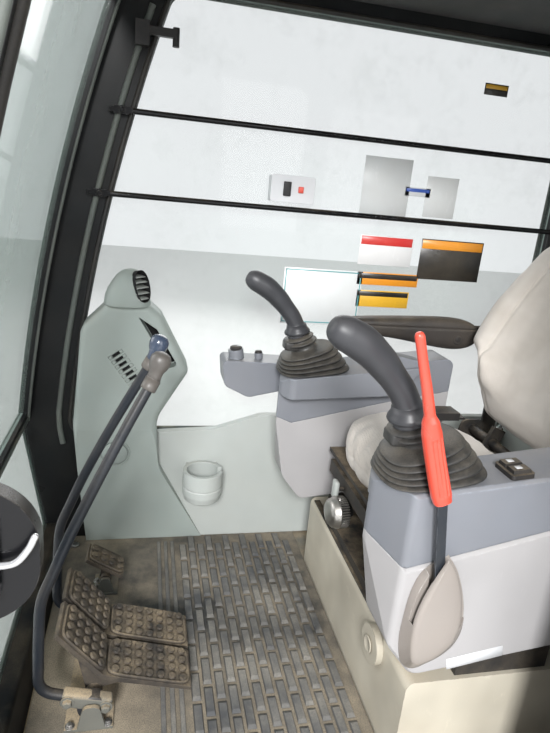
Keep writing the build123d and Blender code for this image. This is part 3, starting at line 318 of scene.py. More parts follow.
def finish_material(
    name, colour, roughness, grain, bump, settled, smeared, patch=9.0, worn=None, radius=0.0016, metallic=0.0,
    variation=0.16, gloss_spread=0.14, coat=0.0, dust_colour=None, gloss=0.5, scuffs=0.30,
):
    """Paint, plastic, rubber or metal with its own grain, rubbed edges and dust."""
    material, tree, shader = new_material(name)
    level = sizes().dust
    dust = {"Scale": patch, "Settled": settled * level, "Smeared": smeared * level}
    dust = tree.add("ShaderNodeGroup", dust, node_tree=dust_group()).outputs["Mask"]
    wear = tree.add("ShaderNodeGroup", {"Radius": radius}, node_tree=wear_group()).outputs
    grains = tree.add("ShaderNodeGroup", {"Scale": grain}, node_tree=grain_group()).outputs
    body = tree.blend(grains["Slow"], scaled(colour, 1 - variation), scaled(colour, 1 + variation))
    body = tree.blend(tree.times(grains["Scuffs"], scuffs), body, scaled(colour, 1.5))
    body = tree.blend(wear["Mask"], body, (*(worn or scaled(colour, 1.8)[:3]), 1.0))
    body = tree.blend(dust, body, (*(dust_colour or colours().dust), 1.0))
    tree.feed(body, shader.inputs["Base Color"])
    rough = tree.span(grains["Slow"], 0.0, 1.0, roughness - gloss_spread / 2, roughness + gloss_spread / 2)
    tree.feed(tree.plus(rough, tree.times(dust, 0.45), clamp=True), shader.inputs["Roughness"])
    for socket, value in (("Metallic", metallic), ("Coat Weight", coat), ("Specular IOR Level", gloss)):
        shader.inputs[socket].default_value = value
    relief = tree.add("ShaderNodeBump", {"Strength": bump, "Distance": 0.0006, "Height": grains["Height"]})
    tree.feed(wear["Soft normal"], relief.inputs["Normal"])
    tree.feed(relief.outputs[0], shader.inputs["Normal"])
    return material


def fabric_material(name, colour, turn, centre, vinyl_edge=None):
    """Perforated seat cloth; turn lays the pattern along the pad, and vinyl takes over outside vinyl_edge."""
    material, tree, shader = new_material(name)
    place = tree.place()
    inputs = {"Vector": place, "Location": centre, "Rotation": turn}
    laid = tree.add("ShaderNodeMapping", inputs, vector_type="TEXTURE").outputs[0]
    weave = tree.add("ShaderNodeGroup", {"Vector": laid}, node_tree=weave_group())
    cloth = tree.blend(weave.outputs["Shade"], scaled(colour, 0.80), scaled(colour, 1.16))
    # The perforations are darkened to 0.42 of the cloth: painted shade in the holes
    cloth = tree.blend(weave.outputs["Holes"], cloth, scaled(colour, 0.42))
    soil = tree.span(tree.noise(place, 7.0, 5.0, 0.6), 0.44, 0.72, 0.0, 0.32)
    cloth = tree.blend(soil, cloth, scaled((0.36, 0.30, 0.23), 1.0))
    height = weave.outputs["Height"]
    if vinyl_edge:
        side = tree.span(tree.part(laid, 2), vinyl_edge, vinyl_edge - 0.002)
        leather = tree.cells(place, 420.0)
        vinyl = tree.blend(tree.noise(place, 12.0), scaled(colour, 0.86), scaled(colour, 1.0))
        cloth = tree.blend(side, cloth, vinyl)
        height = tree.blend(side, height, leather)
        tree.feed(tree.span(side, 0.0, 1.0, 0.92, 0.50), shader.inputs["Roughness"])
    else:
        tree.feed(tree.span(weave.outputs["Shade"], 0.0, 1.0, 0.95, 0.82), shader.inputs["Roughness"])
    tree.feed(cloth, shader.inputs["Base Color"])
    shader.inputs["Sheen Weight"].default_value = 0.25
    relief = tree.add("ShaderNodeBump", {"Strength": 0.45, "Distance": 0.0008})
    tree.feed(height, relief.inputs["Height"])
    tree.feed(relief.outputs[0], shader.inputs["Normal"])
    return material


def glass_material(name):
    """Faintly green window glass with water marks and a film of dust, more opaque at glancing angles as a
    painted reflection.
    """
    material, tree, shader = new_material(name)
    place = tree.place()
    marks = tree.span(tree.cells(place, 75.0), 0.09, 0.02)
    patches = tree.span(tree.noise(place, 9.0, 6.0, 0.7), 0.50, 0.80)
    film = tree.times(tree.plus(patches, tree.times(marks, 2.0)), 0.07)
    tint = tree.blend(tree.times(film, 3.0, clamp=True), (0.50, 0.62, 0.57, 1), (0.72, 0.70, 0.64, 1))
    tree.feed(tint, shader.inputs["Base Color"])
    # Opacity is the dust film and water marks, plus a rise at glancing angles where the tint shows as painted
    # reflection
    fresnel = tree.add("ShaderNodeFresnel", {"IOR": 1.45}).outputs[0]
    opaque = tree.plus(tree.plus(tree.times(fresnel, 0.55), film), 0.07, clamp=True)
    tree.feed(opaque, shader.inputs["Alpha"])
    tree.feed(tree.span(film, 0.0, 0.3, 0.04, 0.45), shader.inputs["Roughness"])
    shader.inputs["Specular IOR Level"].default_value = 0.9
    return material


MATERIALS = {}


def build_materials():
    c = colours()
    # Colour, roughness, grain, bump, settled and smeared dust, and what else differs
    table = {
        "steel_dark": (
            c.frame_paint, 0.34, 500, 0.10, 0.14, 0.012, dict(worn=(0.09, 0.09, 0.09), gloss=0.22)
        ),
        "mat": (
            (0.050, 0.050, 0.048), 0.72, 700, 0.3, 0.95, 0.06,
            dict(patch=5, variation=0.3, dust_colour=(0.40, 0.335, 0.245))
        ),
        "floor": ((0.11, 0.115, 0.105), 0.62, 500, 0.3, 1.25, 0.10, dict(patch=4, variation=0.25)),
        "rib": (
            (0.075, 0.077, 0.080), 0.60, 700, 0.3, 0.62, 0.05,
            dict(variation=0.28, dust_colour=(0.39, 0.36, 0.305))
        ),
        # Near-black that stands in for shade: painted shade in the outlet's well, the column's slots, the
        # scoop's floor, the weight knob's drum and the striker's dish
        "dark recess": ((0.006, 0.006, 0.007), 0.8, 900, 0.12, 0.05, 0, {}),
        "gloss knob": ((0.045, 0.062, 0.10), 0.22, 900, 0.05, 0.08, 0.02, dict(coat=0.4)),
        "roof_paint": ((0.045, 0.046, 0.050), 0.42, 300, 0.08, 0.25, 0.05, {}),
        "lining": ((0.055, 0.055, 0.056), 0.95, 1400, 0.5, 0.1, 0.05, dict(variation=0.25)),
        "bar_black": (
            (0.006, 0.006, 0.007), 0.20, 900, 0.04, 0.15, 0, dict(worn=(0.10, 0.09, 0.08), gloss=0.3)
        ),
        "black_plastic": ((0.020, 0.020, 0.022), 0.46, 1200, 0.22, 0.30, 0.05, dict(gloss=0.35)),
        "chrome": (
            (0.72, 0.72, 0.74), 0.14, 900, 0.03, 0.15, 0.05,
            dict(metallic=1, variation=0.05, gloss_spread=0.08)
        ),
        "zinc": ((0.42, 0.42, 0.42), 0.38, 900, 0.10, 0.30, 0.08, dict(metallic=1)),
        "riser_paint": (c.riser_paint, 0.42, 260, 0.12, 0.35, 0.10, dict(worn=(0.16, 0.14, 0.12))),
        "suspension": ((0.020, 0.019, 0.019), 0.62, 350, 0.30, 0.50, 0.12, dict(patch=16)),
        "knob": ((0.50, 0.49, 0.47), 0.34, 300, 0.12, 0.3, 0.10, dict(metallic=1)),
        "console_light": (
            c.console_light, 0.46, 1300, 0.14, 0.10, 0.02,
            dict(scuffs=0.08, variation=0.05, radius=0.004, worn=(0.60, 0.60, 0.60))
        ),
        "console_dark": (
            c.console_dark, 0.44, 1300, 0.14, 0.14, 0.03,
            dict(scuffs=0.08, variation=0.07, radius=0.005, worn=(0.30, 0.33, 0.38))
        ),
        "bellows": (
            (0.026, 0.026, 0.026), 0.46, 800, 0.10, 0.34, 0.05, dict(patch=14, dust_colour=(0.33, 0.29, 0.23))
        ),
        "grip": (
            (0.040, 0.041, 0.046), 0.40, 2600, 0.06, 0.10, 0.01,
            dict(variation=0.1, dust_colour=(0.20, 0.17, 0.13))
        ),
        "lock_red": (
            c.lever_red, 0.30, 600, 0.06, 0.08, 0.03, dict(variation=0.08, coat=0.25, worn=(0.80, 0.30, 0.24))
        ),
        "cover": (
            (0.30, 0.268, 0.245), 0.42, 1100, 0.10, 0.05, 0.05,
            dict(scuffs=0.08, variation=0.05, worn=(0.62, 0.60, 0.56))
        ),
        "trim": (
            c.trim, 0.50, 1000, 0.14, 0.22, 0.06,
            dict(scuffs=0.08, variation=0.07, radius=0.005, worn=(0.42, 0.45, 0.43))
        ),
        "trim_light": (
            c.trim_light, 0.50, 1000, 0.14, 0.20, 0.05,
            dict(scuffs=0.08, variation=0.06, radius=0.004, worn=(0.58, 0.59, 0.58))
        ),
        "box_white": (
            (0.66, 0.67, 0.69), 0.36, 900, 0.08, 0.12, 0.05,
            dict(scuffs=0.08, variation=0.04, worn=(0.7, 0.7, 0.7))
        ),
        "lever_steel": (
            c.lever_steel, 0.34, 400, 0.08, 0.22, 0.04,
            dict(variation=0.15, worn=(0.13, 0.14, 0.16), gloss=0.4)
        ),
        "pedal_rubber": ((0.036, 0.031, 0.027), 0.66, 500, 0.3, 0.42, 0.16, dict(patch=22)),
        "window_seal": ((0.10, 0.115, 0.105), 0.62, 600, 0.15, 0.3, 0.05, {}),
        "black_seal": ((0.012, 0.012, 0.012), 0.55, 600, 0.15, 0.3, 0.05, {}),
        "armrest_skin": ((0.030, 0.026, 0.024), 0.50, 520, 0.35, 0.20, 0.05, {}),
        "lever_knob": ((0.10, 0.092, 0.085), 0.40, 900, 0.12, 0.2, 0.05, {}),
    }
    for name, (*values, others) in table.items():
        MATERIALS[name] = finish_material(name.replace("_", " "), *values, **others)
    MATERIALS["glass"] = glass_material("window glass")
    lay = (math.pi / 2 - BACK_LEAN, 0, 0)
    MATERIALS["fabric"] = fabric_material("seat cloth", c.fabric, (0, 0, 0), (0, 0, 0.545), vinyl_edge=0.004)
    MATERIALS["back fabric"] = fabric_material(
        "back cloth", c.fabric, lay, tuple(BACK_PIVOT), vinyl_edge=-0.012
    )


# Meshes


def linked(name, data):
    """A new object in the scene."""
    piece = bpy.data.objects.new(name, data)
    bpy.context.scene.collection.objects.link(piece)
    return piece


def mesh_piece(name, points, faces, material):
    """A new object whose mesh holds its place, with its faces outwards."""
    mesh = bpy.data.meshes.new(name)
    mesh.from_pydata([tuple(p) for p in points], [], [tuple(f) for f in faces])
    mesh.validate()
    made = bmesh.new()
    made.from_mesh(mesh)
    bmesh.ops.remove_doubles(made, verts=made.verts, dist=1e-6)
    bmesh.ops.recalc_face_normals(made, faces=made.faces)
    made.to_mesh(mesh)
    made.free()
    piece = linked(name, mesh)
    dress(piece, material)
    return piece


def smoothed(piece, sharp=None):
    """Smooth shading, with edges sharper than an angle in degrees kept."""
    piece.data.polygons.foreach_set("use_smooth", [True] * len(piece.data.polygons))
    if sharp:
        piece.data.set_sharp_from_angle(angle=math.radians(sharp))
    return piece


def dress(piece, material, smooth=True):
    """Gives a piece one material."""
    piece.data.materials.clear()
    piece.data.materials.append(MATERIALS[material])
    if smooth:
        smoothed(piece)


def evaluated_mesh(piece):
    graph = bpy.context.evaluated_depsgraph_get()
    return bpy.data.meshes.new_from_object(piece.evaluated_get(graph))


def baked(piece):
    """Turns a piece's modifiers into its mesh."""
    bpy.context.view_layer.update()
    mesh = evaluated_mesh(piece)
    piece.modifiers.clear()
    piece.data = mesh
    return piece


def subdivided(piece, levels):
    sub = piece.modifiers.new("skin", "SUBSURF")
    sub.levels = sub.render_levels = levels
    return smoothed(baked(piece))


def cut_out(piece, cutter):
    """Takes one closed piece's shape away from another."""
    cut = piece.modifiers.new("mouth", "BOOLEAN")
    cut.object, cut.operation, cut.solver = cutter, "DIFFERENCE", "EXACT"
    baked(piece)
    bpy.data.objects.remove(cutter)


def settle(piece, body, slot, *replaced, move=None):
    """The last step of every piece: its place, its body and what it stands for; its finish, given as slot, is
    not used.
    """
    if move is not None:
        piece.data.transform(move)
    if body:
        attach(piece, body)
    if replaced:
        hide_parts(*replaced)
    return piece


def joined(name, pieces):
    """One object from several, each keeping its own material."""
    mesh = bpy.data.meshes.new(name)
    merged = bmesh.new()
    slots = []
    for piece in pieces:
        index = len(merged.faces)
        own = piece.data.materials[0]
        if own not in slots:
            slots.append(own)
        merged.from_mesh(piece.data)
        merged.faces.ensure_lookup_table()
        for face in merged.faces[index:]:
            face.material_index = slots.index(own)
        bpy.data.objects.remove(piece)
    merged.to_mesh(mesh)
    merged.free()
    for own in slots:
        mesh.materials.append(own)
    return linked(name, mesh)


def ring(centre, u, v, ru, rv, count=32, power=2.0):
    """Points of a rounded outline round a centre; power 2 is an ellipse, more is squarer."""
    points = []
    for step in range(count):
        angle = 2 * math.pi * step / count
        c, s = math.cos(angle), math.sin(angle)
        across = math.copysign(abs(c) ** (2 / power), c) * ru
        along = math.copysign(abs(s) ** (2 / power), s) * rv
        points.append(centre + u * across + v * along)
    return points


def lofted(name, rings, material, capped=True):
    """A skin through rings with the same number of points."""
    count = len(rings[0])
    points = [p for one in rings for p in one]
    faces = []
    for row in range(len(rings) - 1):
        for step in range(count):
            a, b = row * count + step, row * count + (step + 1) % count
            faces.append((a, b, b + count, a + count))
    if capped:
        faces.append(tuple(reversed(range(count))))
        faces.append(tuple(range((len(rings) - 1) * count, len(rings) * count)))
    return mesh_piece(name, points, faces, material)


def smooth_line(points, steps=8):
    """Points along a Catmull-Rom line through the given ones."""
    padded = [points[0] * 2 - points[1], *points, points[-1] * 2 - points[-2]]
    line = []
    for i in range(1, len(padded) - 2):
        p0, p1, p2, p3 = padded[i - 1 : i + 3]
        for step in range(steps):
            t = step / steps
            lower = 2 * p1 + (p2 - p0) * t + (2 * p0 - 5 * p1 + 4 * p2 - p3) * t * t
            line.append(0.5 * (lower + (3 * p1 - p0 - 3 * p2 + p3) * t**3))
    line.append(points[-1])
    return line


def swept(name, line, radii, material, across=X, count=24, power=2.0, round_ends=(True, True)):
    """A tube along a line; radii are rows of distance share, half width and half depth in millimetres."""
    total = [0.0]
    for a, b in zip(line, line[1:]):
        total.append(total[-1] + (b - a).length)

    def radius_at(share):
        for (s0, a0, b0), (s1, a1, b1) in zip(radii, radii[1:]):
            if share <= s1:
                t = (share - s0) / max(s1 - s0, 1e-9)
                t = t * t * (3 - 2 * t)
                return a0 + (a1 - a0) * t, b0 + (b1 - b0) * t
        return radii[-1][1:]

    rings = []
    for i, point in enumerate(line):
        tangent = (line[min(i + 1, len(line) - 1)] - line[max(i - 1, 0)]).normalized()
        v = tangent.cross(across).normalized()
        u = v.cross(tangent).normalized()
        ru, rv = (size / 1000 for size in radius_at(total[i] / total[-1]))
        caps = []
        if i == 0 and round_ends[0]:
            caps = [(-1, 0.30), (-0.92, 0.55), (-0.62, 0.82)]
        if i == len(line) - 1 and round_ends[1]:
            caps = [(0.0, 1.0), (0.62, 0.82), (0.92, 0.55), (1, 0.30)]
        if i == 0 and caps:
            caps.append((0.0, 1.0))
        for shift, size in caps or [(0.0, 1.0)]:
            centre = point + tangent * shift * min(ru, rv)
            rings.append(ring(centre, u, v, ru * size, rv * size, count, power))
    return lofted(name, rings, material)


def turned(name, profile, place, material, count=48):
    """A lathe piece from (radius, height) rows in millimetres, put where the matrix says."""
    rings = [ring(mm(0, 0, z), X, Y, max(r / 1000, 1e-5), max(r / 1000, 1e-5), count) for r, z in profile]
    piece = lofted(name, rings, material)
    piece.data.transform(place)
    return piece


def aim(origin, direction, roll=X):
    """Matrix whose Z runs along a direction from an origin."""
    z = direction.normalized()
    y = z.cross(roll).normalized()
    x = y.cross(z)
    return Matrix.Translation(origin) @ Matrix((x, y, z)).transposed().to_4x4()


def box_piece(name, low, high, material, bevel=0.002, segments=3, place=None):
    """A block with rounded edges."""
    (x0, y0, z0), (x1, y1, z1) = low, high
    points = [(x, y, z) for x in (x0, x1) for y in (y0, y1) for z in (z0, z1)]
    faces = [(0, 1, 3, 2), (4, 6, 7, 5), (0, 4, 5, 1), (2, 3, 7, 6), (0, 2, 6, 4), (1, 5, 7, 3)]
    piece = mesh_piece(name, points, faces, material)
    edge = piece.modifiers.new("edge", "BEVEL")
    edge.width, edge.segments = bevel, segments
    edge.limit_method, edge.angle_limit = "ANGLE", math.radians(35)
    edge.use_clamp_overlap = True
    smoothed(baked(piece))
    if place is not None:
        piece.data.transform(place)
    return piece


def tube(name, points, radius, material, closed=False, resolution=4):
    """A round strip along points, made from a curve."""
    curve = bpy.data.curves.new(name, "CURVE")
    curve.dimensions = "3D"
    curve.bevel_depth, curve.bevel_resolution = radius, resolution
    curve.use_fill_caps = not closed
    line = curve.splines.new("POLY")
    line.points.add(len(points) - 1)
    for spot, point in zip(line.points, points):
        spot.co = (*point, 1)
    line.use_cyclic_u = closed
    strip = linked(name, curve)
    bpy.context.view_layer.update()
    mesh = evaluated_mesh(strip)
    bpy.data.objects.remove(strip)
    piece = linked(name, mesh)
    dress(piece, material)
    return piece


# Geometry node trees


def node_tree(name, given, build):
    """A Geometry Nodes tree, built once: given holds the inputs' defaults, whole numbers as integers."""
    if name in bpy.data.node_groups:
        return bpy.data.node_groups[name]
    group = bpy.data.node_groups.new(name, "GeometryNodeTree")
    group.interface.new_socket("Geometry", in_out="INPUT", socket_type="NodeSocketGeometry")
    for label, default in given.items():
        kind = "NodeSocketInt" if isinstance(default, int) else FLOAT
        group.interface.new_socket(label, in_out="INPUT", socket_type=kind).default_value = default
    group.interface.new_socket("Material", in_out="INPUT", socket_type="NodeSocketMaterial")
    group.interface.new_socket("Geometry", in_out="OUTPUT", socket_type="NodeSocketGeometry")
    tree = Tree(group)
    sockets = tree.add("NodeGroupInput").outputs
    real = tree.geo("RealizeInstances", {0: build(tree, sockets)})
    painted = tree.geo("SetMaterial", {"Geometry": real, "Material": sockets["Material"]})
    tree.feed(painted, tree.add("NodeGroupOutput").inputs[0])
    return group


def grown(name, tree, values, material, points=()):
    """The mesh that a Geometry Nodes tree makes, from its inputs and rows of (point, aim)."""
    mesh = bpy.data.meshes.new(name)
    mesh.from_pydata([tuple(p) for p, _ in points], [], [])
    if points:
        aims = mesh.attributes.new("aim", "FLOAT_VECTOR", "POINT")
        aims.data.foreach_set("vector", [x for _, a in points for x in a])
    piece = linked(name, mesh)
    modifier = piece.modifiers.new("grow", "NODES")
    modifier.node_group = tree
    values = {**values, "Material": MATERIALS[material]}
    for item in tree.interface.items_tree:
        if item.item_type == "SOCKET" and item.in_out == "INPUT" and item.name in values:
            modifier[item.identifier] = values[item.name]
    baked(piece)
    dress(piece, material, smooth=False)
    piece.data.polygons.foreach_set("material_index", [0] * len(piece.data.polygons))
    return piece


def grid_points(tree, given, step_x, step_y):
    """Points in columns and rows, set apart by the two steps."""
    columns, rows = given["Columns"], given["Rows"]
    width = tree.times(tree.math("SUBTRACT", columns, 1), step_x)
    depth = tree.times(tree.math("SUBTRACT", rows, 1), step_y)
    inputs = {"Size X": width, "Size Y": depth, "Vertices X": columns, "Vertices Y": rows}
    return tree.geo("MeshToPoints", {"Mesh": tree.geo("MeshGrid", inputs)})


def set_on(tree, spots, piece, **inputs):
    """One instance of a piece at each spot."""
    return tree.geo("InstanceOnPoints", {"Points": spots, "Instance": piece, **inputs})


def cone(tree, sides, top, bottom, depth=1.0, **settings):
    inputs = {"Vertices": sides, "Radius Top": top, "Radius Bottom": bottom, "Depth": depth}
    return tree.geo("MeshCone", inputs, **settings)


def cylinder(tree, sides, radius, depth):
    return tree.geo("MeshCylinder", {"Vertices": sides, "Radius": radius, "Depth": depth})


def stud_tree():
    """Rows of round rubber studs on a flat pad."""

    def build(tree, given):
        spots = grid_points(tree, given, given["Pitch"], given["Pitch"])
        stud = cone(tree, 14, 0.86, 1.0, fill_type="NGON")
        return set_on(
            tree, spots, stud, Scale=tree.combine(given["Radius"], given["Radius"], given["Height"])
        )

    given = {"Columns": 6, "Rows": 6, "Pitch": 0.015, "Radius": 0.005, "Height": 0.003}
    return node_tree("Pedal studs", given, build)


def rib_tree():
    """Raised ribs of the floor mat, set like bricks."""

    def build(tree, given):
        step_x = tree.plus(given["Width"], given["Gap"])
        step_y = tree.plus(given["Length"], given["Gap"])
        spots = grid_points(tree, given, step_x, step_y)
        across = tree.part(tree.geo("InputPosition"), 0)
        column = tree.math("ROUND", tree.math("DIVIDE", tree.plus(across, 10.0), step_x))
        shift = tree.times(tree.math("MODULO", column, 2.0), tree.times(step_y, 0.5))
        spots = tree.geo("SetPosition", {"Geometry": spots, "Offset": tree.combine(0.0, shift, 0.0)})
        rib = cone(tree, 4, 0.56, 0.7071, fill_type="NGON")
        turn = tree.geo("Transform", {"Geometry": rib, "Rotation": (0, 0, math.pi / 4)})
        return set_on(tree, spots, turn, Scale=tree.combine(given["Width"], given["Length"], given["Height"]))

    given = {"Columns": 20, "Rows": 6, "Length": 0.06, "Width": 0.012, "Gap": 0.005, "Height": 0.003}
    return node_tree("Mat ribs", given, build)


def bolt_tree():
    """Hexagon bolts on washers, one at each point, along the point's aim."""

    def build(tree, given):
        solids = [
            cylinder(tree, 20, 1.45, 0.22), cylinder(tree, 6, 1.0, 0.8), cone(tree, 18, 0.62, 0.86, 0.14)
        ]
        lifts = (0.11, 0.60, 0.99)
        parts = [tree.geo("Transform", {0: part, "Translation": (0, 0, z)}) for part, z in zip(solids, lifts)]
        whole = tree.add("GeometryNodeJoinGeometry")
        for part in parts:
            tree.feed(part, whole.inputs[0])
        spots = tree.geo("MeshToPoints", {"Mesh": given["Geometry"]})
        aims = tree.geo("InputNamedAttribute", {"Name": "aim"}, data_type="FLOAT_VECTOR")
        turn = tree.add("FunctionNodeAlignRotationToVector", {"Vector": aims}, axis="Z").outputs[0]
        size = tree.combine(*[given["Radius"]] * 3)
        return set_on(tree, spots, whole.outputs[0], Rotation=turn, Scale=size)

    return node_tree("Hexagon bolts", {"Radius": 0.006}, build)


def ridge_tree():
    """Ridges round a knob's rim."""

    def build(tree, given):
        circle = tree.geo("MeshCircle", {"Vertices": given["Count"], "Radius": given["Radius"]})
        spots = tree.geo("MeshToPoints", {"Mesh": circle})
        place = tree.geo("InputPosition")
        turn = tree.add("FunctionNodeAlignRotationToVector", {"Vector": place}, axis="X").outputs[0]
        return set_on(tree, spots, cylinder(tree, 6, given["Ridge"], given["Depth"]), Rotation=turn)

    given = {"Count": 36, "Radius": 0.027, "Ridge": 0.0018, "Depth": 0.022}
    return node_tree("Knob ridges", given, build)


# Soft goods


def puffed(piece, voxel, cap, pressure=4.0):
    """Swells a closed pad by a cloth simulation; no point moves further than cap."""
    remesh = piece.modifiers.new("even", "REMESH")
    remesh.mode, remesh.voxel_size = "VOXEL", voxel
    baked(piece)
    start = np.zeros(len(piece.data.vertices) * 3, np.float32)
    piece.data.vertices.foreach_get("co", start)
    cloth = piece.modifiers.new("swell", "CLOTH")
    cloth.settings.use_pressure = True
    cloth.settings.uniform_pressure_force = pressure
    cloth.settings.effector_weights.gravity = 0.0
    cloth.settings.quality = 4
    cloth.collision_settings.use_collision = False
    cloth.point_cache.frame_start, cloth.point_cache.frame_end = 1, 20
    for moment in range(1, 21):
        bpy.context.scene.frame_set(moment)
    swollen = evaluated_mesh(piece)
    ends = np.zeros(len(swollen.vertices) * 3, np.float32)
    swollen.vertices.foreach_get("co", ends)
    piece.modifiers.clear()
    bpy.context.scene.frame_set(1)
    move = (ends - start).reshape(-1, 3)
    length = np.linalg.norm(move, axis=1, keepdims=True)
    move *= np.minimum(1.0, cap / np.maximum(length, 1e-9))
    piece.data.vertices.foreach_set("co", (start.reshape(-1, 3) + move).ravel())
    bpy.data.meshes.remove(swollen)
    smooth = piece.modifiers.new("ease", "SMOOTH")
    smooth.factor, smooth.iterations = 0.5, 6
    return subdivided(piece, 1)


def grooved(piece, depth_of):
    """Moves each point along its normal by what depth_of says, for seams and channels."""
    moves = [(v.index, v.normal.copy(), depth_of(v.co)) for v in piece.data.vertices]
    for index, normal, depth in moves:
        piece.data.vertices[index].co -= normal * depth
    piece.data.update()


def notch(distance, width, depth):
    """Depth of a seam at a distance from it."""
    share = abs(distance) / width
    return depth * max(0.0, 1 - share) ** 1.5


def pad_from(name, rows, u, v, w, origin, material):
    """A closed pad from rows of (height, half width, half depth, shift) in millimetres along w."""
    rings = []
    for row in rows:
        h, a, b, shift = (c / 1000 for c in row)
        rings.append(ring(origin + w * h + v * shift, u, v, a, b, 44, 3.4))
    return lofted(name, rings, material)


# Height up the back, half width, front depth of the side rolls and rear depth
BACK_ROWS = [
    (46, 150, 26, 40), (52, 174, 42, 46), (80, 180, 74, 48), (130, 181, 118, 48), (176, 184, 142, 48),
    (208, 238, 150, 48)
]
BACK_ROWS += [
    (250, 246, 148, 48), (320, 247, 142, 48), (400, 244, 126, 46), (480, 236, 106, 44), (540, 214, 80, 38),
    (574, 176, 50, 26), (584, 126, 26, 12)
]


def back_outline(half, front, rear):
    """Section of the seat's back: a hollow between two side rolls in front, nearly flat behind."""
    points = []
    for step in range(56):
        angle = 2 * math.pi * step / 56
        c, s = math.cos(angle), math.sin(angle)
        across = math.copysign(abs(c) ** 0.38, c) * half
        if s > 0:
            points.append((across, s**0.55 * rear))
        else:
            share = abs(across) / half
            roll = front - (front - min(front, 66)) * max(0.0, 1 - (share / 0.74) ** 3)
            points.append((across, -(abs(s) ** 0.24) * roll))
    return points


class UpholsterSeat(bpy.types.Operator):
    """Cushion, back and headrest in perforated cloth with vinyl sides"""

    bl_idname = "cab.upholster_seat"
    bl_label = "Upholster seat"

    def execute(self, context):
        rows = [
            (506, 150, 130, 4), (509, 186, 164, 0), (520, 198, 176, 0), (548, 200, 178, -2),
            (572, 194, 172, -2), (583, 172, 150, 2), (586, 120, 100, 6)
        ]
        cushion = pad_from("seat_cushion_pad", rows, X, Y, Z, mm(0, 134, 0), "fabric")
        puffed(cushion, 0.006, 0.022)
        # Wider by a little, and raised and drawn forward towards its front
        for vertex in cushion.data.vertices:
            p = vertex.co
            fore = min(1.0, max(0.0, (0.250 - p.y) / 0.190))
            fore = fore * fore * (3 - 2 * fore)
            rise = min(1.0, max(0.0, (p.z - 0.520) / 0.050))
            vertex.co = (p.x * 1.06, p.y - 0.012 * fore, p.z + 0.030 * fore * rise)
        seam = 0.548

        def seams(p):
            edge = notch(p.z - seam, 0.005, 0.004) if abs(p.x) > 0.17 or p.y < 0.0 else 0.0
            channels = notch(abs(p.x) - 0.150, 0.006, 0.0045) if p.z > seam + 0.012 else 0.0
            return edge + channels

        grooved(cushion, seams)
        settle(cushion, "seat", "fabric", "seat_cushion")

        lean = Matrix.Rotation(-BACK_LEAN, 3, "X")
        up, deep = lean @ Z, lean @ Y
        rings = []
        for h, *section in BACK_ROWS:
            level = [
                BACK_PIVOT + X * px / 1000 + deep * py / 1000 + up * h / 1000
                for px, py in back_outline(*section)
            ]
            rings.append(level)
        back = lofted("seat_back_pad", rings, "back fabric")
        puffed(back, 0.007, 0.010, pressure=2.5)

        def back_seams(p):
            local = lean.transposed() @ (p - BACK_PIVOT)
            bend = 0.135 + 0.02 * math.sin(local.z * 6)
            return 0.0 if local.y > 0.0 else notch(abs(local.x) - bend, 0.006, 0.005)

        grooved(back, back_seams)
        settle(back, "backrest", "fabric", "seat_backrest")

        rows = [
            (650, 96, 22, 0), (656, 116, 30, 0), (690, 128, 33, 0), (740, 126, 32, 0), (782, 112, 28, 0),
            (795, 90, 18, 0)
        ]
        rest = pad_from("headrest_pad", rows, X, deep, up, BACK_PIVOT.copy(), "back fabric")
        puffed(rest, 0.006, 0.010)
        posts = []
        for side in (-70, 70):
            ends = [BACK_PIVOT + lean @ mm(side, 0, h) for h in (560, 680)]
            posts.append(tube("headrest_post", ends, 0.006, "chrome", resolution=6))
        settle(rest, "backrest", "fabric", "headrest")
        settle(joined("headrest_posts", posts), "backrest", "chrome")
        return {"FINISHED"}


ARM_X = 289
ARM_PIVOT = mm(0, 415, 806)
ARM_RAISED = math.radians(-105)
# Y, Z, half width and half height along an armrest, its foam down as in use
ARM_ROWS = [(-46, 812, 15, 16), (-38, 810, 22, 20), (30, 814, 27, 22), (120, 812, 28, 28), (200, 806, 28, 37)]
ARM_ROWS += [
    (260, 802, 29, 42), (300, 800, 29, 41), (330, 800, 28, 34), (346, 800, 24, 22), (350, 800, 16, 12)
]


class MakeArmrests(bpy.types.Operator):
    """Padded armrests with their links, bosses and pivot screws"""

    bl_idname = "cab.make_armrests"
    bl_label = "Make armrests"

    def execute(self, context):
        for side, body in ((-1, "armrest_right"), (1, "armrest_left")):
            x = side * ARM_X
            rings = [ring(mm(x, y, z), X, Z, a / 1000, b / 1000, 32, 3.2) for y, z, a, b in ARM_ROWS]
            arm = subdivided(lofted("arm", rings, "armrest_skin"), 2)
            grooved(arm, lambda p: notch(p.z - 0.81796, 0.0035, 0.003))
            outer = aim(ARM_PIVOT + mm(side * 317, 0, 0), X * side, Y)
            boss = turned("boss", [(0, 4), (18, 4), (20, 2), (20, 0), (0, -2)], outer, "black_plastic")
            low, high = (x / 1000 - 0.009, 0.300, 0.786), (x / 1000 + 0.009, 0.440, 0.824)
            link = box_piece("link", low, high, "black_plastic", bevel=0.008)
            inner = aim(mm(side * 261.5, 288, 792), X * -side, Y)
            rows = [(0, -4), (15, -4), (15, 0), (13, 1.4), (11.5, 0.4), (9.5, 0.2), (8, 1.6), (0, 1.8)]
            screw = turned("screw", rows, inner, "black_plastic")
            whole = joined(body + "_pad", [arm, boss, link, screw])
            turn = None
            if side > 0:
                turn = Matrix.Translation(ARM_PIVOT) @ Matrix.Rotation(ARM_RAISED, 4, "X")
                turn = turn @ Matrix.Translation(-ARM_PIVOT)
            settle(whole, body, "black_plastic", body, move=turn)
        return {"FINISHED"}


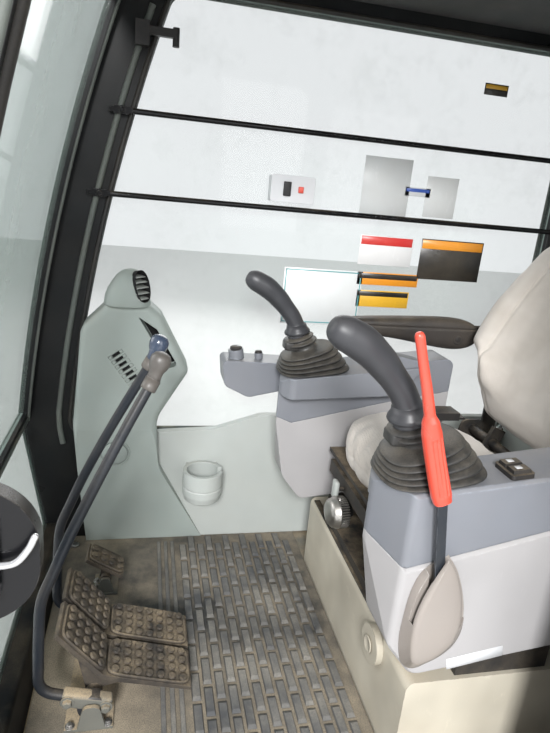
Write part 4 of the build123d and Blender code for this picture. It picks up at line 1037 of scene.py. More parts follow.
# The left stick's line, from its collar to the grip's tip
STICK_X = 272
STICK_LINE = [(-92, 778), (-98, 806), (-111, 833), (-132, 859), (-161, 889), (-190, 912), (-221, 928)]
STICK_LINE = [mm(STICK_X, y, z) for y, z in STICK_LINE]
STICK_COLLAR = STICK_LINE[0]
# The right grip is a little shorter than the left one
RIGHT_GRIP = 0.90


def stick_shift(side):
    """Mirror and move that take the left stick's shapes to one side."""
    if side > 0:
        return Matrix.Identity(4)
    return Matrix.Translation(CONSOLE_SHIFT) @ Matrix.Scale(-1, 4, (1, 0, 0))


def placed(piece, matrix):
    """Moves a mesh by a matrix and turns its faces outwards again after a mirror."""
    piece.data.transform(matrix)
    if matrix.determinant() < 0:
        piece.data.flip_normals()
    return piece


class MakeBellows(bpy.types.Operator):
    """Rubber bellows between each console and its stick"""

    bl_idname = "cab.make_bellows"
    bl_label = "Make bellows"

    def execute(self, context):
        steps = sizes().fold_count * 10
        foot, top, collar = mm(STICK_X, -44, 699), mm(STICK_X, -68, 752), 35
        foot_up = Vector((0, -0.113, 0.9936))
        stick_up = (STICK_COLLAR - mm(STICK_X, -58, 686)).normalized()
        # Half width and height share in 35ths of the collar's skirt
        neck = [
            (45, 0.5), (34, 1.5), (29, 4), (28, 12), (30, 14), (37, 15.5), (40, 18), (38.5, 20.5), (29, 22.5)
        ]
        neck += [(28, 25.5), (33, 27.5), (38.5, 29.5), (38.5, 31), (33, 33.5), (27, 35)]
        for side, stick in ((1, "left_stick"), (-1, "right_stick")):
            rings = []
            for step in range(steps + 1):
                share = step / steps
                up = foot_up.lerp(stick_up, share).normalized()
                inward = 1 - math.sin(math.pi * (step % 10) / 10) ** 0.5
                half_x = (75 - 17 * share**1.2 - 15 * inward) / 1000
                half_y = (91 - 27 * share**1.2 - 16 * inward) / 1000
                centre, deep = foot.lerp(top, share), up.cross(X).normalized()
                rings.append(ring(centre, X, deep, half_x, half_y, 56, 3.2 - 0.6 * share))
            deep = stick_up.cross(X).normalized()
            for half, lift in neck:
                centre = top.lerp(STICK_COLLAR + stick_up * 0.006, lift / collar)
                rings.append(ring(centre, X, deep, half / 1000, half / 1000, 56, 2.1))
            piece = lofted(f"{stick}_bellows", rings, "bellows")
            shift = stick_shift(side)
            subdivided(placed(piece, shift), 1)
            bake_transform(piece)
        return {"FINISHED"}


class MakeGrips(bpy.types.Operator):
    """Smooth bent hand grips with the flange and block at their foot"""

    bl_idname = "cab.make_grips"
    bl_label = "Make grips"

    def execute(self, context):
        radii = [
            (0, 27, 27), (0.10, 26.5, 26.5), (0.22, 22.5, 23), (0.42, 22, 23.2), (0.64, 24.8, 26.4),
            (0.84, 27.2, 28.8), (1, 26.2, 27.6)
        ]
        skirt = [(0, 0), (30, 0), (34.5, 2), (35.5, 6), (34, 10), (29, 16), (26.5, 26), (0, 26)]
        for side, stick in ((1, "left_stick"), (-1, "right_stick")):
            grip = swept("grip", smooth_line(STICK_LINE, 8), radii, "grip", round_ends=(False, True))
            subdivided(grip, 1)
            foot = aim(STICK_COLLAR - mm(0, 2, -12), STICK_LINE[1] - STICK_LINE[0])
            flange = turned("flange", skirt, foot, "grip")
            block = box_piece("block", (0.250, -0.126, 0.748), (0.290, -0.084, 0.771), "bellows", bevel=0.006)
            if side < 0:
                smaller = Matrix.Translation(STICK_COLLAR) @ Matrix.Scale(RIGHT_GRIP, 4)
                smaller = smaller @ Matrix.Translation(-STICK_COLLAR)
                grip.data.transform(smaller)
                flange.data.transform(smaller)
            whole = placed(joined(f"{stick}_grip", [grip, flange, block]), stick_shift(side))
            settle(whole, stick, "grip", stick)
        return {"FINISHED"}


LOCK_X = 0.3675
# Outlines of the lever's cover (Y, Z): its rim on the console and the edge of its face, both from the tip
# round the rear, and the ridge that the face rises to
COVER_RIM = [(-24, 586), (-1, 552), (16, 510), (26, 471), (28, 434), (19, 405), (-1, 384)]
COVER_RIM += [(-27, 370), (-52, 362), (-74, 378), (-85, 425), (-84, 480), (-78, 527), (-62, 562)]
COVER_FACE = [(-40, 600), (-20, 572), (-4, 534), (5, 497), (7, 461), (-1, 432), (-20, 410)]
COVER_FACE += [(-42, 398), (-60, 394), (-72, 404), (-79, 436), (-80, 476), (-74, 514), (-60, 556)]
COVER_RIDGE = [(-54, 560), (-58, 540), (-62, 515), (-66, 490), (-68, 465), (-66, 445), (-64, 430)]
COVER_RIDGE += [(-64, 422), (-66, 418), (-68, 425), (-70, 445), (-71, 474), (-68, 508), (-58, 545)]
# X of each ring of the cover, the outline it starts from and its share of the way to the next outline
COVER_RINGS = [(0.3480, 0, 0.0), (0.3520, 0, 0.06), (0.3700, 1, 0.0), (0.3752, 1, 0.03), (0.3775, 1, 0.12)]
COVER_RINGS += [(0.3792, 1, 0.30), (0.3805, 1, 0.55), (0.3812, 1, 0.80), (0.3814, 1, 0.97)]
# Pocket round the lever's hub and bar, and the narrow slit that lets the bar swing forward
COVER_MOUTH = [(-55, 442), (-46, 424), (-10, 424), (20, 455), (64, 500), (64, 640)]
COVER_POCKET = [(-69, 640), (-66, 605), (-60.5, 560), (-56, 520), *COVER_MOUTH]
COVER_SLIT = [(-150, 640), (-150, 536), (-55, 453), *COVER_MOUTH]


class MakeLockLever(bpy.types.Operator):
    """Red ribbed grip of the lock lever, and the teardrop cover over its foot"""

    bl_idname = "cab.make_lock_lever"
    bl_label = "Make lock lever"

    def execute(self, context):
        line = [
            (-67, 696), (-77, 724), (-93, 770), (-102, 798), (-111, 828), (-124, 872), (-137, 912),
            (-149, 950)
        ]
        line = smooth_line([Vector((LOCK_X, y / 1000, z / 1000)) for y, z in line], 14)
        radii = [
            (0, 11.8, 14.2), (0.05, 12.8, 15.6), (0.44, 12.2, 14.8), (0.50, 11.4, 12.8), (0.56, 7.8, 8),
            (0.92, 6.6, 6.8), (1, 6.6, 6.8)
        ]
        grip = swept(
            "lock_lever_grip_red", line, radii, "lock_red", count=72, power=2.6, round_ends=(False, True)
        )
        grip.data.set_sharp_from_angle(angle=math.radians(50))

        def grooves(p):
            along = (p - line[0]).dot((line[-1] - line[0]).normalized())
            if not 0.014 < along < 0.112 or p.x < LOCK_X + 0.004:
                return 0.0
            across = (p - line[0]).dot(Vector((0, 0.954, 0.299)))
            return max(notch(across - groove, 0.0022, 0.0026) for groove in (-0.0065, 0.0, 0.0065))

        grooved(grip, grooves)
        settle(grip, "lock_lever", "lock_red", "lock_lever_grip")

        outlines = (COVER_RIM, COVER_FACE, COVER_RIDGE)
        loops = [smooth_line([mm(0, y, z) for y, z in [*row, row[0]]], 6)[:-1] for row in outlines]
        rings = [
            [a.lerp(b, share) + X * x for a, b in zip(loops[i], loops[i + 1])]
            for x, i, share in COVER_RINGS
        ]
        cover = lofted("lock_lever_shield", rings, "cover")
        for corners, span in ((COVER_POCKET, (0.3485, 0.3742)), (COVER_SLIT, (0.3622, 0.3732))):
            cut_out(cover, lofted("slot", [[mm(0, y, z) + X * x for y, z in corners] for x in span], "cover"))
        smoothed(cover, sharp=48)
        settle(cover, "cab", "cover", "lock_lever_cover")
        return {"FINISHED"}


# The left travel lever's tube, from its pedal up
LEVER_LINE = [
    (150, -592, 150), (150, -640, 166), (150, -672, 178), (150, -687, 200), (150, -687, 245), (150, -684, 320)
]
LEVER_LINE += [
    (149, -678, 384), (144, -657, 440), (133, -630, 506), (115, -587, 598), (92, -540, 691), (70, -494, 778)
]


class MakeTravelLevers(bpy.types.Operator):
    """Bent tubes of the travel levers with their knobs"""

    bl_idname = "cab.make_travel_levers"
    bl_label = "Make travel levers"

    def execute(self, context):
        neck = [
            (0, 0), (13.5, 0), (12.5, 10), (13.5, 18), (17, 25), (19, 34), (18.5, 43), (14, 50), (6, 53.5),
            (0, 54)
        ]
        band = [(17.8, -12), (26, -12), (27, -10), (27, 10), (26, 12), (17.8, 12)]
        run = mm(0, -92, 26)
        # X of each lever's tube at its foot and top
        levers = (("travel_left", 150, 70, "lever_knob"), ("travel_right", -86, -50, "gloss knob"))
        for body, foot, top, paint in levers:
            points = [mm(foot + (150 - x) * (top - foot) / 80, y, z) for x, y, z in LEVER_LINE]
            tip = points[-1]
            line, across = smooth_line(points, 8), Vector((0.97, 0.2, 0.1))
            lever = swept("lever", line, [(0, 10, 10), (1, 9.6, 9.6)], "lever_steel", across=across)
            collar = [(0, -20), (13.5, -20), (14.5, -18), (14.5, 2), (0, 2)]
            collar = turned("collar", collar, aim(tip, (tip - points[-2]).normalized()), "lever_knob")
            knob = turned("knob", neck, aim(tip, Vector((-0.1, 0.35, 1.0))), paint)
            clamp = turned("clamp", band, aim(mm(foot, -592, 140), X, Y), "lever_steel")
            low, high = (-0.013, -0.016, 0.0), (0.013, 0.016, run.length)
            shoe = box_piece("shoe", low, high, "floor", 0.007, place=aim(mm(foot, -556, 140), run))
            nuts = [(mm(foot + 12.5, y, z), X) for y, z in ((-566, 143), (-636, 163))]
            nuts = grown("nuts", bolt_tree(), {"Radius": 0.0088}, "floor", nuts)
            name = body.replace("travel", "travel_lever")
            whole = joined(f"{name}_tube", [lever, collar, knob, clamp, shoe, nuts])
            settle(whole, body, "lever_steel", name)
        return {"FINISHED"}


def rubber_pad(name, half_w, half_l, place):
    """Thick rubber pad with round corners and a raised rim."""
    rows = [
        (0.0004, 0.0), (0.0052, 0.0), (0.0068, 0.0012), (0.0066, 0.0034), (0.0052, 0.0048), (0.0050, 0.010)
    ]
    rings = [ring(Z * z, X, Y, half_w - inset, half_l - inset, 56, 7.0) for z, inset in rows]
    pad = lofted(name, rings, "pedal_rubber")
    pad.data.transform(place)
    return pad


class StudPedals(bpy.types.Operator):
    """Rubber pads with round studs on the pedals"""

    bl_idname = "cab.stud_pedals"
    bl_label = "Stud pedals"

    def execute(self, context):
        heel, kink, toe = (-400, 141), (-572, 190), (-654, 292)
        s = sizes()
        # Near and far end (Y, Z) of a pad, its name, and its columns and rows of studs
        halves = ((heel, kink, "lower", 4, 7), (kink, toe, "upper", 4, 5))
        # The same after each pad's body, X and width
        pedals = (("travel_left", 86), ("travel_right", -22))
        pads = [(body, x, 96, *half) for body, x in pedals for half in halves]
        pads.append(("aux_pedal", -251.5, 66, (-548, 150), (-636, 204), "face", 2, 4))
        groups = {}
        for body, centre, width, near, far, part, columns, rows in pads:
            run = mm(0, far[0] - near[0], far[1] - near[1])
            up = X.cross(-run).normalized()
            up = up if up.z > 0 else -up
            place = aim(mm(centre, near[0], near[1]) + run / 2, up, X)
            half_w, half_l = width / 2000 - 0.0005, run.length / 2 - 0.004
            pad = rubber_pad(f"{body}_{part}", half_w, half_l, place)
            wide = 1.15 if body == "aux_pedal" else 1.0
            pitch = min(s.stud_pitch * wide, 2 * half_w / columns, 2 * half_l / rows)
            values = {
                "Columns": columns, "Rows": rows, "Pitch": pitch, "Radius": s.stud_radius * wide,
                "Height": 0.0042
            }
            studs = grown("studs", stud_tree(), values, "pedal_rubber")
            studs.data.transform(place @ Matrix.Translation((0, 0, 0.0064)))
            groups.setdefault(body, []).extend([pad, studs])
        for body, pieces in groups.items():
            settle(joined(f"{body}_pads", pieces), body, "pedal_rubber")
        return {"FINISHED"}


class RibMat(bpy.types.Operator):
    """Raised ribs over the floor mat"""

    bl_idname = "cab.rib_mat"
    bl_label = "Rib mat"

    def execute(self, context):
        s = sizes()
        columns, rows = int(0.360 / (s.rib_width + s.rib_gap)), int(0.84 / (s.rib_length + s.rib_gap))
        values = {
            "Columns": columns, "Rows": rows, "Length": s.rib_length, "Width": s.rib_width, "Gap": s.rib_gap,
            "Height": 0.0044
        }
        ribs = grown("mat_ribs", rib_tree(), values, "rib")
        ribs.data.transform(Matrix.Translation(mm(-20, -232, 101.6)) @ Matrix.Rotation(math.pi / 2, 4, "Z"))
        border = [
            box_piece("ridge", (-0.43, y - 0.005, 0.0998), (0.43, y + 0.005, 0.1030), "rib", bevel=0.002)
            for y in (-0.455, -0.436, -0.417)
        ]
        settle(joined("mat_ribs", [ribs, *border]), "cab", "mat")
        return {"FINISHED"}


class TrimRiser(bpy.types.Operator):
    """Dusty strips on the seat's riser and the plug in its boss"""

    bl_idname = "cab.trim_riser"
    bl_label = "Trim riser"

    def execute(self, context):
        strip = box_piece("strip", (0.235, -0.030, 0.3002), (0.252, 0.470, 0.3052), "suspension", 0.0015)
        lip = box_piece("lip", (-0.300, -0.0365, 0.3002), (0.235, -0.020, 0.3045), "suspension", 0.0015)
        settle(joined("riser_strips", [strip, lip]), "cab", "suspension")
        rows = [(0, 0), (17, 0), (17.5, 1.6), (15, 2.6), (13.5, 1.4), (0, 1.2)]
        plug = turned("riser_plug", rows, aim(mm(186, -54.2, 262), -Y), "riser_paint")
        settle(plug, "cab", "riser_paint")
        return {"FINISHED"}


class MakeOutlet(bpy.types.Operator):
    """Domed air outlet, the column's slots with their filled ends, its scoop's floor and its round cap"""

    bl_idname = "cab.make_outlet"
    bl_label = "Make outlet"

    def execute(self, context):
        base = mm(-432, -550, 812)
        # Height, half width, half length and lean of the dome's rings
        rows = [
            (-4, 46, 57, -5), (0, 47.5, 58, -5), (18, 47, 56, -5), (38, 45, 51, -3), (57, 39, 43, 0),
            (72, 31, 34, 2), (82, 20, 23, 3), (87, 8, 10, 4)
        ]
        rings = [ring(base + mm(0, lean, z), X, Y, a / 1000, b / 1000, 48, 2.3) for z, a, b, lean in rows]
        dome = lofted("dome", rings, "trim")
        mouth = aim(base + mm(15, 20, 44), Vector((0.62, 0.74, 0.26)).normalized(), Z)
        turn = mouth.to_3x3()

        def oval(depth, rim=0.0):
            return ring(mouth @ Vector((0, 0, depth)), turn @ X, turn @ Y, 0.041 - rim, 0.026 - rim, 40, 2.2)

        cut_out(dome, lofted("cutter", [oval(-0.012), oval(0.08)], "trim"))
        smoothed(dome, sharp=40)
        # The outlet's well is lined in near-black: painted shade inside its mouth
        well = [oval(0.018, 0.0004), oval(-0.0112, 0.0008), oval(-0.0114, 0.014)]
        pieces = [dome, lofted("well", well, "dark recess", capped=False)]
        for lift in (-27, -13, 1, 15, 28):
            half = 0.025 * math.sqrt(1 - (lift / 43) ** 2)
            low, high = (-0.0014, -half, -0.011), (0.0014, half, 0.013)
            blade = box_piece("blade", low, high, "trim_light", 0.0009, 2)
            tilt = Matrix.Rotation(math.radians(-24), 4, "Y")
            blade.data.transform(mouth @ Matrix.Translation((lift / 1000, 0, 0.002)) @ tilt)
            pieces.append(blade)
        settle(joined("outlet_dome", pieces), "cab", "trim", "defroster_vent")

        lean = Matrix.Translation(mm(-402, -555, 645)) @ Matrix.Rotation(math.atan2(-88, 62), 4, "X")
        slots = []
        for step in range(-3, 4):
            spot = lean @ Matrix.Translation((0, step * 0.015, 0))
            low, high = (-0.0118, -0.0043, -0.0115), (-0.0070, 0.0043, 0.0115)
            # A near-black block in each slot: painted shade in the gap
            slots.append(box_piece("gap", low, high, "dark recess", 0.0004, 1, spot))
            for z0, z1 in ((-0.0207, -0.0112), (0.0112, 0.0207)):
                low, high = (-0.0118, -0.0044, z0), (-0.0003, 0.0044, z1)
                slots.append(box_piece("fill", low, high, "trim", 0.0008, 2, spot))
        # A near-black plate on the scoop's floor: painted shade in the scoop
        scoop = [(-522, 778), (-481, 748), (-428, 658), (-446, 652)]
        scoop = [[mm(x, y, z) for y, z in scoop] for x in (-439.6, -438.4)]
        slots.append(lofted("scoop", scoop, "dark recess"))
        settle(joined("column_slots", slots), "cab", "trim")

        cap = [(0, 5.5), (30, 5.5), (33.5, 4), (34.5, 0), (0, 0)]
        cap = turned("cap", cap, aim(mm(-411, -582, 400), Vector((1, 0, -0.14)), Y), "trim")
        angles = [2 * math.pi * i / 48 for i in range(48)]
        turns = [(math.cos(angle), math.sin(angle)) for angle in angles]
        rim = [mm(-411 + 5.4 * s, -582 + 39 * c, 400 + 39 * s) for c, s in turns]
        rim = tube("rim", rim, 0.0022, "trim", closed=True)
        settle(joined("column_cap", [cap, rim]), "cab", "trim")
        return {"FINISHED"}


# Blank plates on the right window: name, y0, z0, y1, z1, field, band colour, band's share of the height
WINDOW_PLATES = [
    ("sheet_a", 59, 1080, 198, 1232, (0.72, 0.74, 0.74), None, 0),
    ("sheet_b", 248, 1086, 344, 1196, (0.72, 0.74, 0.74), None, 0),
    ("framed", -136, 761, 95, 920, (0.74, 0.76, 0.76), (0.10, 0.34, 0.36), 0.0),
    ("red_band", 74, 941, 235, 1024, (0.74, 0.74, 0.74), (0.62, 0.03, 0.03), 0.32),
    ("orange_dark", 261, 910, 459, 1026, (0.018, 0.017, 0.016), (0.80, 0.30, 0.02), 0.24),
    ("orange_strip", 79, 884, 267, 920, (0.80, 0.30, 0.02), (0.018, 0.017, 0.016), 0.5),
    ("yellow", 84, 820, 246, 868, (0.75, 0.42, 0.03), (0.018, 0.017, 0.016), 0.35),
    ("small_dark", 371, 1419, 442, 1448, (0.018, 0.017, 0.016), (0.72, 0.40, 0.04), 0.45),
    ("blue_strip", 186, 1138, 262, 1162, (0.70, 0.72, 0.74), (0.03, 0.10, 0.45), 0.5),
]


def plate_finish(name, colour):
    MATERIALS[name] = finish_material(name, colour, 0.35, 700, 0.05, 0.0, 0.10, variation=0.04, radius=0.0004)
    return name


class StickPlates(bpy.types.Operator):
    """Blank plates on the right window and the console's blank label"""

    bl_idname = "cab.stick_plates"
    bl_label = "Stick plates"

    def execute(self, context):
        glass = -0.5029
        front = glass + 0.0007
        pieces = []
        for name, y0, z0, y1, z1, field, band, share in WINDOW_PLATES:
            finish = plate_finish(f"plate {name}", field)
            low, high = (glass, y0 / 1000, z0 / 1000), (front, y1 / 1000, z1 / 1000)
            pieces.append(box_piece(name, low, high, finish, 0.0002, 1))
            if band is None:
                continue
            finish = plate_finish(f"band {name}", band)
            strips = [(y0 + 3, z1 - (z1 - z0) * share, y1 - 3, z1 - 3)]
            if not share:
                strips = [(y0 + 4, z0 + 4, y1 - 4, z0 + 7), (y0 + 4, z1 - 7, y1 - 4, z1 - 4)]
                strips += [(y0 + 4, z0 + 4, y0 + 7, z1 - 4), (y1 - 7, z0 + 4, y1 - 4, z1 - 4)]
            for a, b, c, d in strips:
                low, high = (front, a / 1000, b / 1000), (glass + 0.0011, c / 1000, d / 1000)
                pieces.append(box_piece("band", low, high, finish, 0.0001, 1))
        settle(joined("window_plates", pieces), "cab", "box_white")
        place = aim(mm(348.1, 68, 371), X, mm(0, 122, 22).normalized())
        low, high = (-0.054, -0.0115, 0.0), (0.054, 0.0115, 0.0008)
        plate = box_piece("console_label", low, high, "box_white", 0.0003, 1, place)
        settle(plate, "cab", "box_white")
        return {"FINISHED"}


def rounded_outline(corners, steps=6):
    """Points of a closed outline of (y, z, radius) rows with its corners rounded."""
    points = []
    count = len(corners)
    for i, (y, z, r) in enumerate(corners):
        here = Vector((y, z))
        before = (Vector(corners[i - 1][:2]) - here).normalized()
        after = (Vector(corners[(i + 1) % count][:2]) - here).normalized()
        if not r:
            points.append(here)
            continue
        half = math.acos(max(-1, min(1, before.dot(after)))) / 2
        reach = r / math.tan(half)
        centre = here + (before + after).normalized() * (r / math.sin(half))
        start, end = here + before * reach, here + after * reach
        a0 = math.atan2(*(start - centre).yx)
        turn = (math.atan2(*(end - centre).yx) - a0 + math.pi) % (2 * math.pi) - math.pi
        points += [
            centre + Vector((math.cos(a0 + turn * s / steps), math.sin(a0 + turn * s / steps))) * r
            for s in range(steps + 1)
        ]
    return points


def opening_line(shift, sill, top, rear, corner):
    """Outline of a window or door opening behind a front pillar."""
    heights = [top - (top - max(sill, KNEE[1])) * i / 12 for i in range(13)]
    rows = [(rear, sill, corner), (rear, top, corner)]
    rows += [(front_y(z) + shift, z, corner if i == 0 else 0) for i, z in enumerate(heights)]
    if sill < KNEE[1]:
        rows.append((front_y(sill) + shift, sill, corner))
    return rounded_outline(rows)


class RunSeals(bpy.types.Operator):
    """Rubber seals round the windows and the door opening"""

    bl_idname = "cab.run_seals"
    bl_label = "Run seals"

    def execute(self, context):
        def seal(points, radius=sizes().seal_radius, rubber="black_seal", closed=True):
            return tube("seal", points, radius, rubber, closed=closed)

        right = opening_line(0.130, 0.425, 1.545, 0.655, 0.045)
        door = opening_line(0.070, 0.132, 1.545, 0.150, 0.060)
        quarter = rounded_outline(
            [(0.235, 0.760, 0.05), (0.745, 0.760, 0.05), (0.745, 1.510, 0.05), (0.235, 1.510, 0.05)]
        )
        rear = rounded_outline(
            [(-0.370, 0.800, 0.05), (0.370, 0.800, 0.05), (0.370, 1.400, 0.05), (-0.370, 1.400, 0.05)]
        )
        strips = [seal([(x, y, z) for y, z in right]) for x in (-INNER_X, -OUTER_X)]
        strips += [seal([(x, y, z) for y, z in quarter]) for x in (INNER_X, OUTER_X)]
        strips += [seal([(x, y, z) for x, z in rear]) for y in (0.805, 0.850)]
        settle(joined("window_seals", strips), "cab", "black_plastic")
        strips = [seal([(OUTER_X - 0.002, y, z) for y, z in door], 0.0055, "window_seal")]
        strips += [seal([(INNER_X, y, z) for y, z in door], 0.008)]
        settle(joined("door_seals", strips), "cab", "black_plastic")

        side, inset = 0.4545, 0.026
        heights = [0.476 + 1.052 * i / 30 for i in range(31)]
        sash = [[(x, front_y(z, inset), z) for z in heights] for x in (-side, side)]
        sash += [[(x, front_y(z, inset), z) for x in (-side, side)] for z in (0.484, 1.520)]
        sash = [seal(line, 0.0050, "window_seal", closed=False) for line in sash]
        settle(joined("sash_seals", sash), "cab", "black_plastic")
        line = [(-0.4765, front_y(z) + 0.100, z) for z in [0.40 + 1.10 * i / 24 for i in range(25)]]
        line = seal(line, 0.0075, "window_seal", closed=False)
        settle(joined("pillar_seal", [line]), "cab", "black_plastic")
        return {"FINISHED"}


class SetBolts(bpy.types.Operator):
    """Hexagon bolts on the guard bars, hinges, pedals and brackets"""

    bl_idname = "cab.set_bolts"
    bl_label = "Set bolts"

    def execute(self, context):
        bars = [(Vector((-0.4625, y, z)), X) for z in (1.268, 1.075) for y in (front_y(z) + 0.106, 0.679)]
        small = [
            (Vector((0.530, y, hinge + z)), X)
            for hinge in (0.330, 0.840, 1.350) for z in (-0.030, 0.002) for y in (0.204, 0.228)
        ]
        small += [(mm(x, y, 106), Z) for x in (-104, 166) for y in (-632, -562)]
        small += [(mm(x, -616, 105), Z) for x in (-240, -262)]
        mounts = [(mm(x, y, 92), Z) for x in (-430, 430) for y in (-690, 690)]
        groups = [("bar_bolts", bars, 0.0068, "bar_black"), ("cab_bolts", small, 0.0062, "zinc")]
        groups.append(("mount_bolts", mounts, 0.013, "zinc"))
        for name, points, radius, metal in groups:
            settle(grown(name, bolt_tree(), {"Radius": radius}, metal, points), "cab", metal)
        return {"FINISHED"}


class MakeKnobs(bpy.types.Operator):
    """Weight knob, height paddle, striker dish, switch pod's knobs, ignition key, rockers and buttons"""

    bl_idname = "cab.make_knobs"
    bl_label = "Make knobs"

    def execute(self, context):
        place = aim(mm(-60, -46, 415), Vector((0.10, -1, 0)))
        drum = [(0, -20), (13, -20), (13, -3), (34, -3), (35, 0), (35, 19), (0, 20)]
        # The drum is near-black: painted shade between the ridges round its rim and behind the knob
        drum = turned("drum", drum, place, "dark recess")
        face = [
            (0, 17), (36, 17), (37.5, 18.5), (37.5, 21), (35, 24), (33, 32), (28, 37), (18, 39.5), (0, 40)
        ]
        face = turned("face", face, place, "knob")
        values = {"Count": 38, "Radius": 0.0355, "Ridge": 0.0021, "Depth": 0.020}
        ridges = grown("ridges", ridge_tree(), values, "knob")
        ridges.data.transform(place @ Matrix.Translation((0, 0, 0.0085)))
        settle(joined("weight_knob", [drum, face, ridges]), "cab", "knob", "suspension_knobs")
        rod = tube("rod", [mm(-96, -20, 452), mm(-96, -52, 456)], 0.005, "suspension")
        paddle = box_piece("paddle", (-0.110, -0.064, 0.430), (-0.084, -0.052, 0.477), "trim_light", 0.005)
        settle(joined("height_paddle", [rod, paddle]), "cab", "trim_light")

        # Release lever in the dish of the door striker housing
        dish = aim(mm(506, -655, 738), X)
        bowl = turned("bowl", [(0, 0.4), (38, 0.4), (43, 2.2), (46, 2.4), (49, 0.2)], dish, "bar_black")
        # A near-black disc in the dish: painted shade in its hollow
        inside = turned("inside", [(0, 0.5), (41, 0.5), (41, 1.2), (0, 1.2)], dish, "dark recess")
        pull = [
            mm(508, -672, 722), mm(514, -652, 726), mm(517, -634, 731), mm(518, -621, 747), mm(518, -614, 762)
        ]
        radii = [(0, 4, 6), (0.5, 3.5, 4.5), (1, 3, 4)]
        pull = swept("pull", smooth_line(pull, 6), radii, "chrome", count=16)
        settle(joined("striker_dish", [bowl, inside, pull]), "cab", "bar_black")

        dial = aim(mm(-384, -275, 712), Vector((0, -0.04, 1)))
        cap = [(0, -2), (14, -2), (14.5, 0), (13, 7), (11.5, 8.5), (0, 9)]
        cap = turned("cap", cap, dial, "black_plastic")
        values = {"Count": 22, "Radius": 0.0142, "Ridge": 0.0013, "Depth": 0.007}
        ridges = grown("ridges", ridge_tree(), values, "black_plastic")
        ridges.data.transform(dial @ Matrix.Translation((0, 0, 0.0032)))
        low, high = (-0.0008, 0.002, 0.0084), (0.0008, 0.011, 0.0094)
        mark = box_piece("mark", low, high, "box_white", 0.0003, 1, dial)
        second = [(0, -1), (9.5, -1), (10, 0), (9, 5), (0, 6)]
        second = turned("cap", second, aim(mm(-384, -214, 704), Vector((0, -0.1, 1))), "black_plastic")
        settle(joined("pod_knobs", [cap, ridges, mark, second]), "cab", "black_plastic")

        barrel = aim(mm(-198, 84, 715), X)
        lock = turned("lock", [(0, 0), (8, 0), (8, 2), (5.5, 2.6), (0, 2.6)], barrel, "chrome")
        low, high = (-0.0012, -0.009, 0.0026), (0.0012, 0.009, 0.022)
        bow = box_piece("bow", low, high, "black_plastic", 0.001, place=barrel)
        settle(joined("ignition_key", [lock, bow]), "cab", "chrome")
        return self.mark_buttons()

    def mark_buttons(self):
        """Rocker and button of the white box, blank tags of the rockers and the buckle's button."""
        x = -0.469
        rocker = box_piece("rocker", (x, -0.168, 1.108), (x + 0.007, -0.148, 1.144), "black_plastic", 0.002)
        red = box_piece("button", (x, -0.128, 1.118), (x + 0.006, -0.114, 1.134), "lock_red", 0.002)
        settle(joined("box_rocker", [rocker, red]), "cab", "black_plastic")
        top = Matrix.Translation(mm(313, 88, 728)) @ Matrix.Rotation(math.radians(6.5), 4, "X")
        tags = [
            box_piece("tag", (x0, -0.009, 0.0008), (x1, 0.002, 0.0016), "box_white", 0.0003, 1, top)
            for x0, x1 in ((-0.017, -0.007), (0.007, 0.017))
        ]
        settle(joined("rocker_tags", tags), "cab", "box_white")
        press = box_piece("press", (-0.216, 0.2045, 0.6035), (-0.176, 0.2110, 0.6170), "lock_red", 0.001)
        settle(press, "seat", "lock_red")
        return {"FINISHED"}


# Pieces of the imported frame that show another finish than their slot's
OTHER_FINISH = {"base_frame": "floor", "pedal_brackets": "floor", "door_striker": "bar_black"}


class DressFrame(bpy.types.Operator):
    """Finishes of the CAD pieces that show"""

    bl_idname = "cab.dress_frame"
    bl_label = "Dress frame"

    def execute(self, context):
        build_materials()
        for name, piece in NODES.items():
            material = MATERIALS[OTHER_FINISH.get(name, SLOT_OF[name])]
            if piece.data.materials:
                for index in range(len(piece.data.materials)):
                    piece.data.materials[index] = material
            else:
                piece.data.materials.append(material)
        return {"FINISHED"}


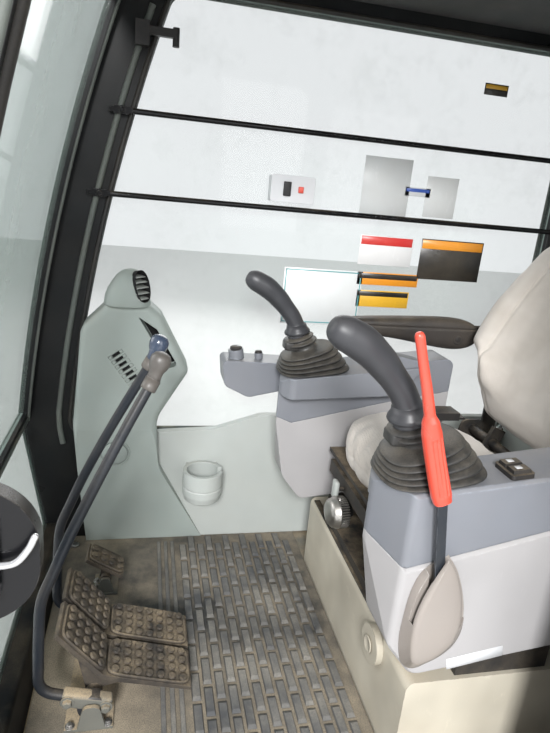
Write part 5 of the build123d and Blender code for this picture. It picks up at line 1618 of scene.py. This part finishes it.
class SetStage(bpy.types.Operator):
    """Pale floor, soft light and the photograph's camera"""

    bl_idname = "cab.set_stage"
    bl_label = "Set stage"

    def execute(self, context):
        scene = context.scene
        scene.view_settings.view_transform = "Standard"
        mesh = bpy.data.meshes.new("floor")
        mesh.from_pydata([(-9, -9, 0), (9, -9, 0), (9, 9, 0), (-9, 9, 0)], [], [(0, 1, 2, 3)])
        floor = linked("floor", mesh)
        material, tree, shader = new_material("pale floor")
        mottled = tree.noise(tree.place(), 3.0, 4.0)
        pale = tree.blend(mottled, (0.70, 0.70, 0.69, 1), (0.76, 0.76, 0.75, 1))
        tree.feed(pale, shader.inputs["Base Color"])
        shader.inputs["Roughness"].default_value = 0.85
        floor.data.materials.append(material)

        world = bpy.data.worlds.new("soft sky")
        scene.world = world
        world.use_nodes = True
        tree = Tree(world.node_tree)
        sky = world.node_tree.nodes["Background"]
        path = tree.add("ShaderNodeLightPath").outputs
        seen = tree.math("MAXIMUM", path["Is Camera Ray"], path["Is Glossy Ray"])
        seen = tree.math("MAXIMUM", seen, path["Is Transmission Ray"])
        tree.feed(tree.span(seen, 0.0, 1.0, 0.72, 0.93), sky.inputs["Strength"])
        sky.inputs["Color"].default_value = (0.96, 0.98, 1.0, 1)

        lamps = [
            ("key", (5.0, -1.5, 3.3), (-0.1, -0.25, 0.5), 1.2, 430),
            ("door side fill", (3.4, 1.0, 1.6), (0, -0.1, 0.6), 1.8, 30),
            ("front fill", (-1.5, -4.0, 2.6), (0, 0, 0.9), 2.5, 70),
            ("window fill", (-3.4, 0.6, 2.4), (0, -0.2, 0.6), 2.2, 60),
        ]
        for name, spot, target, size, power in lamps:
            lamp = bpy.data.lights.new(name, "AREA")
            lamp.size, lamp.energy = size, power
            holder = linked(name, lamp)
            holder.location = spot
            holder.rotation_euler = (Vector(target) - Vector(spot)).to_track_quat("-Z", "Y").to_euler()

        camera = bpy.data.cameras.new("photo view")
        camera.sensor_width, camera.lens = 36.0, 28.24
        camera.clip_start = 0.02
        eye = linked("photo view", camera)
        right, up = Vector((0.20416, 0.97474, 0.09049)), Vector((-0.30495, -0.02451, 0.95205))
        back = Vector((0.93023, -0.22197, 0.29225))
        turn = Matrix((right, up, back)).transposed().to_4x4()
        eye.matrix_world = Matrix.Translation((1.060, -0.510, 1.120)) @ turn
        scene.camera = eye
        return {"FINISHED"}


class CabPanel(bpy.types.Panel):
    """Lists the cab's steps in the sidebar"""

    bl_idname = "VIEW3D_PT_cab"
    bl_label = "Cab"
    bl_space_type = "VIEW_3D"
    bl_region_type = "UI"
    bl_category = "Cab"

    def draw(self, context):
        for step in STEPS:
            self.layout.operator(step.bl_idname)
        for name in ("fold_count", "stud_pitch", "seal_radius", "dust"):
            self.layout.prop(context.scene.cab_sizes, name)


STEPS = [
    SetStage, DressFrame, UpholsterSeat, MakeArmrests, MakeBellows, MakeGrips, MakeLockLever,
    MakeTravelLevers, StudPedals, RibMat, TrimRiser, MakeOutlet, StickPlates, RunSeals, SetBolts, MakeKnobs
]
CLASSES = [CabSizes, CabColours, *STEPS, CabPanel]


def register():
    for one in CLASSES:
        bpy.utils.register_class(one)
    bpy.types.Scene.cab_sizes = PointerProperty(type=CabSizes)
    bpy.types.Scene.cab_colours = PointerProperty(type=CabColours)


def unregister():
    del bpy.types.Scene.cab_colours
    del bpy.types.Scene.cab_sizes
    for one in reversed(CLASSES):
        bpy.utils.unregister_class(one)


def main():
    register()
    for step in STEPS:
        getattr(bpy.ops.cab, step.bl_idname.split(".")[1])()


if __name__ == "__main__":
    main()
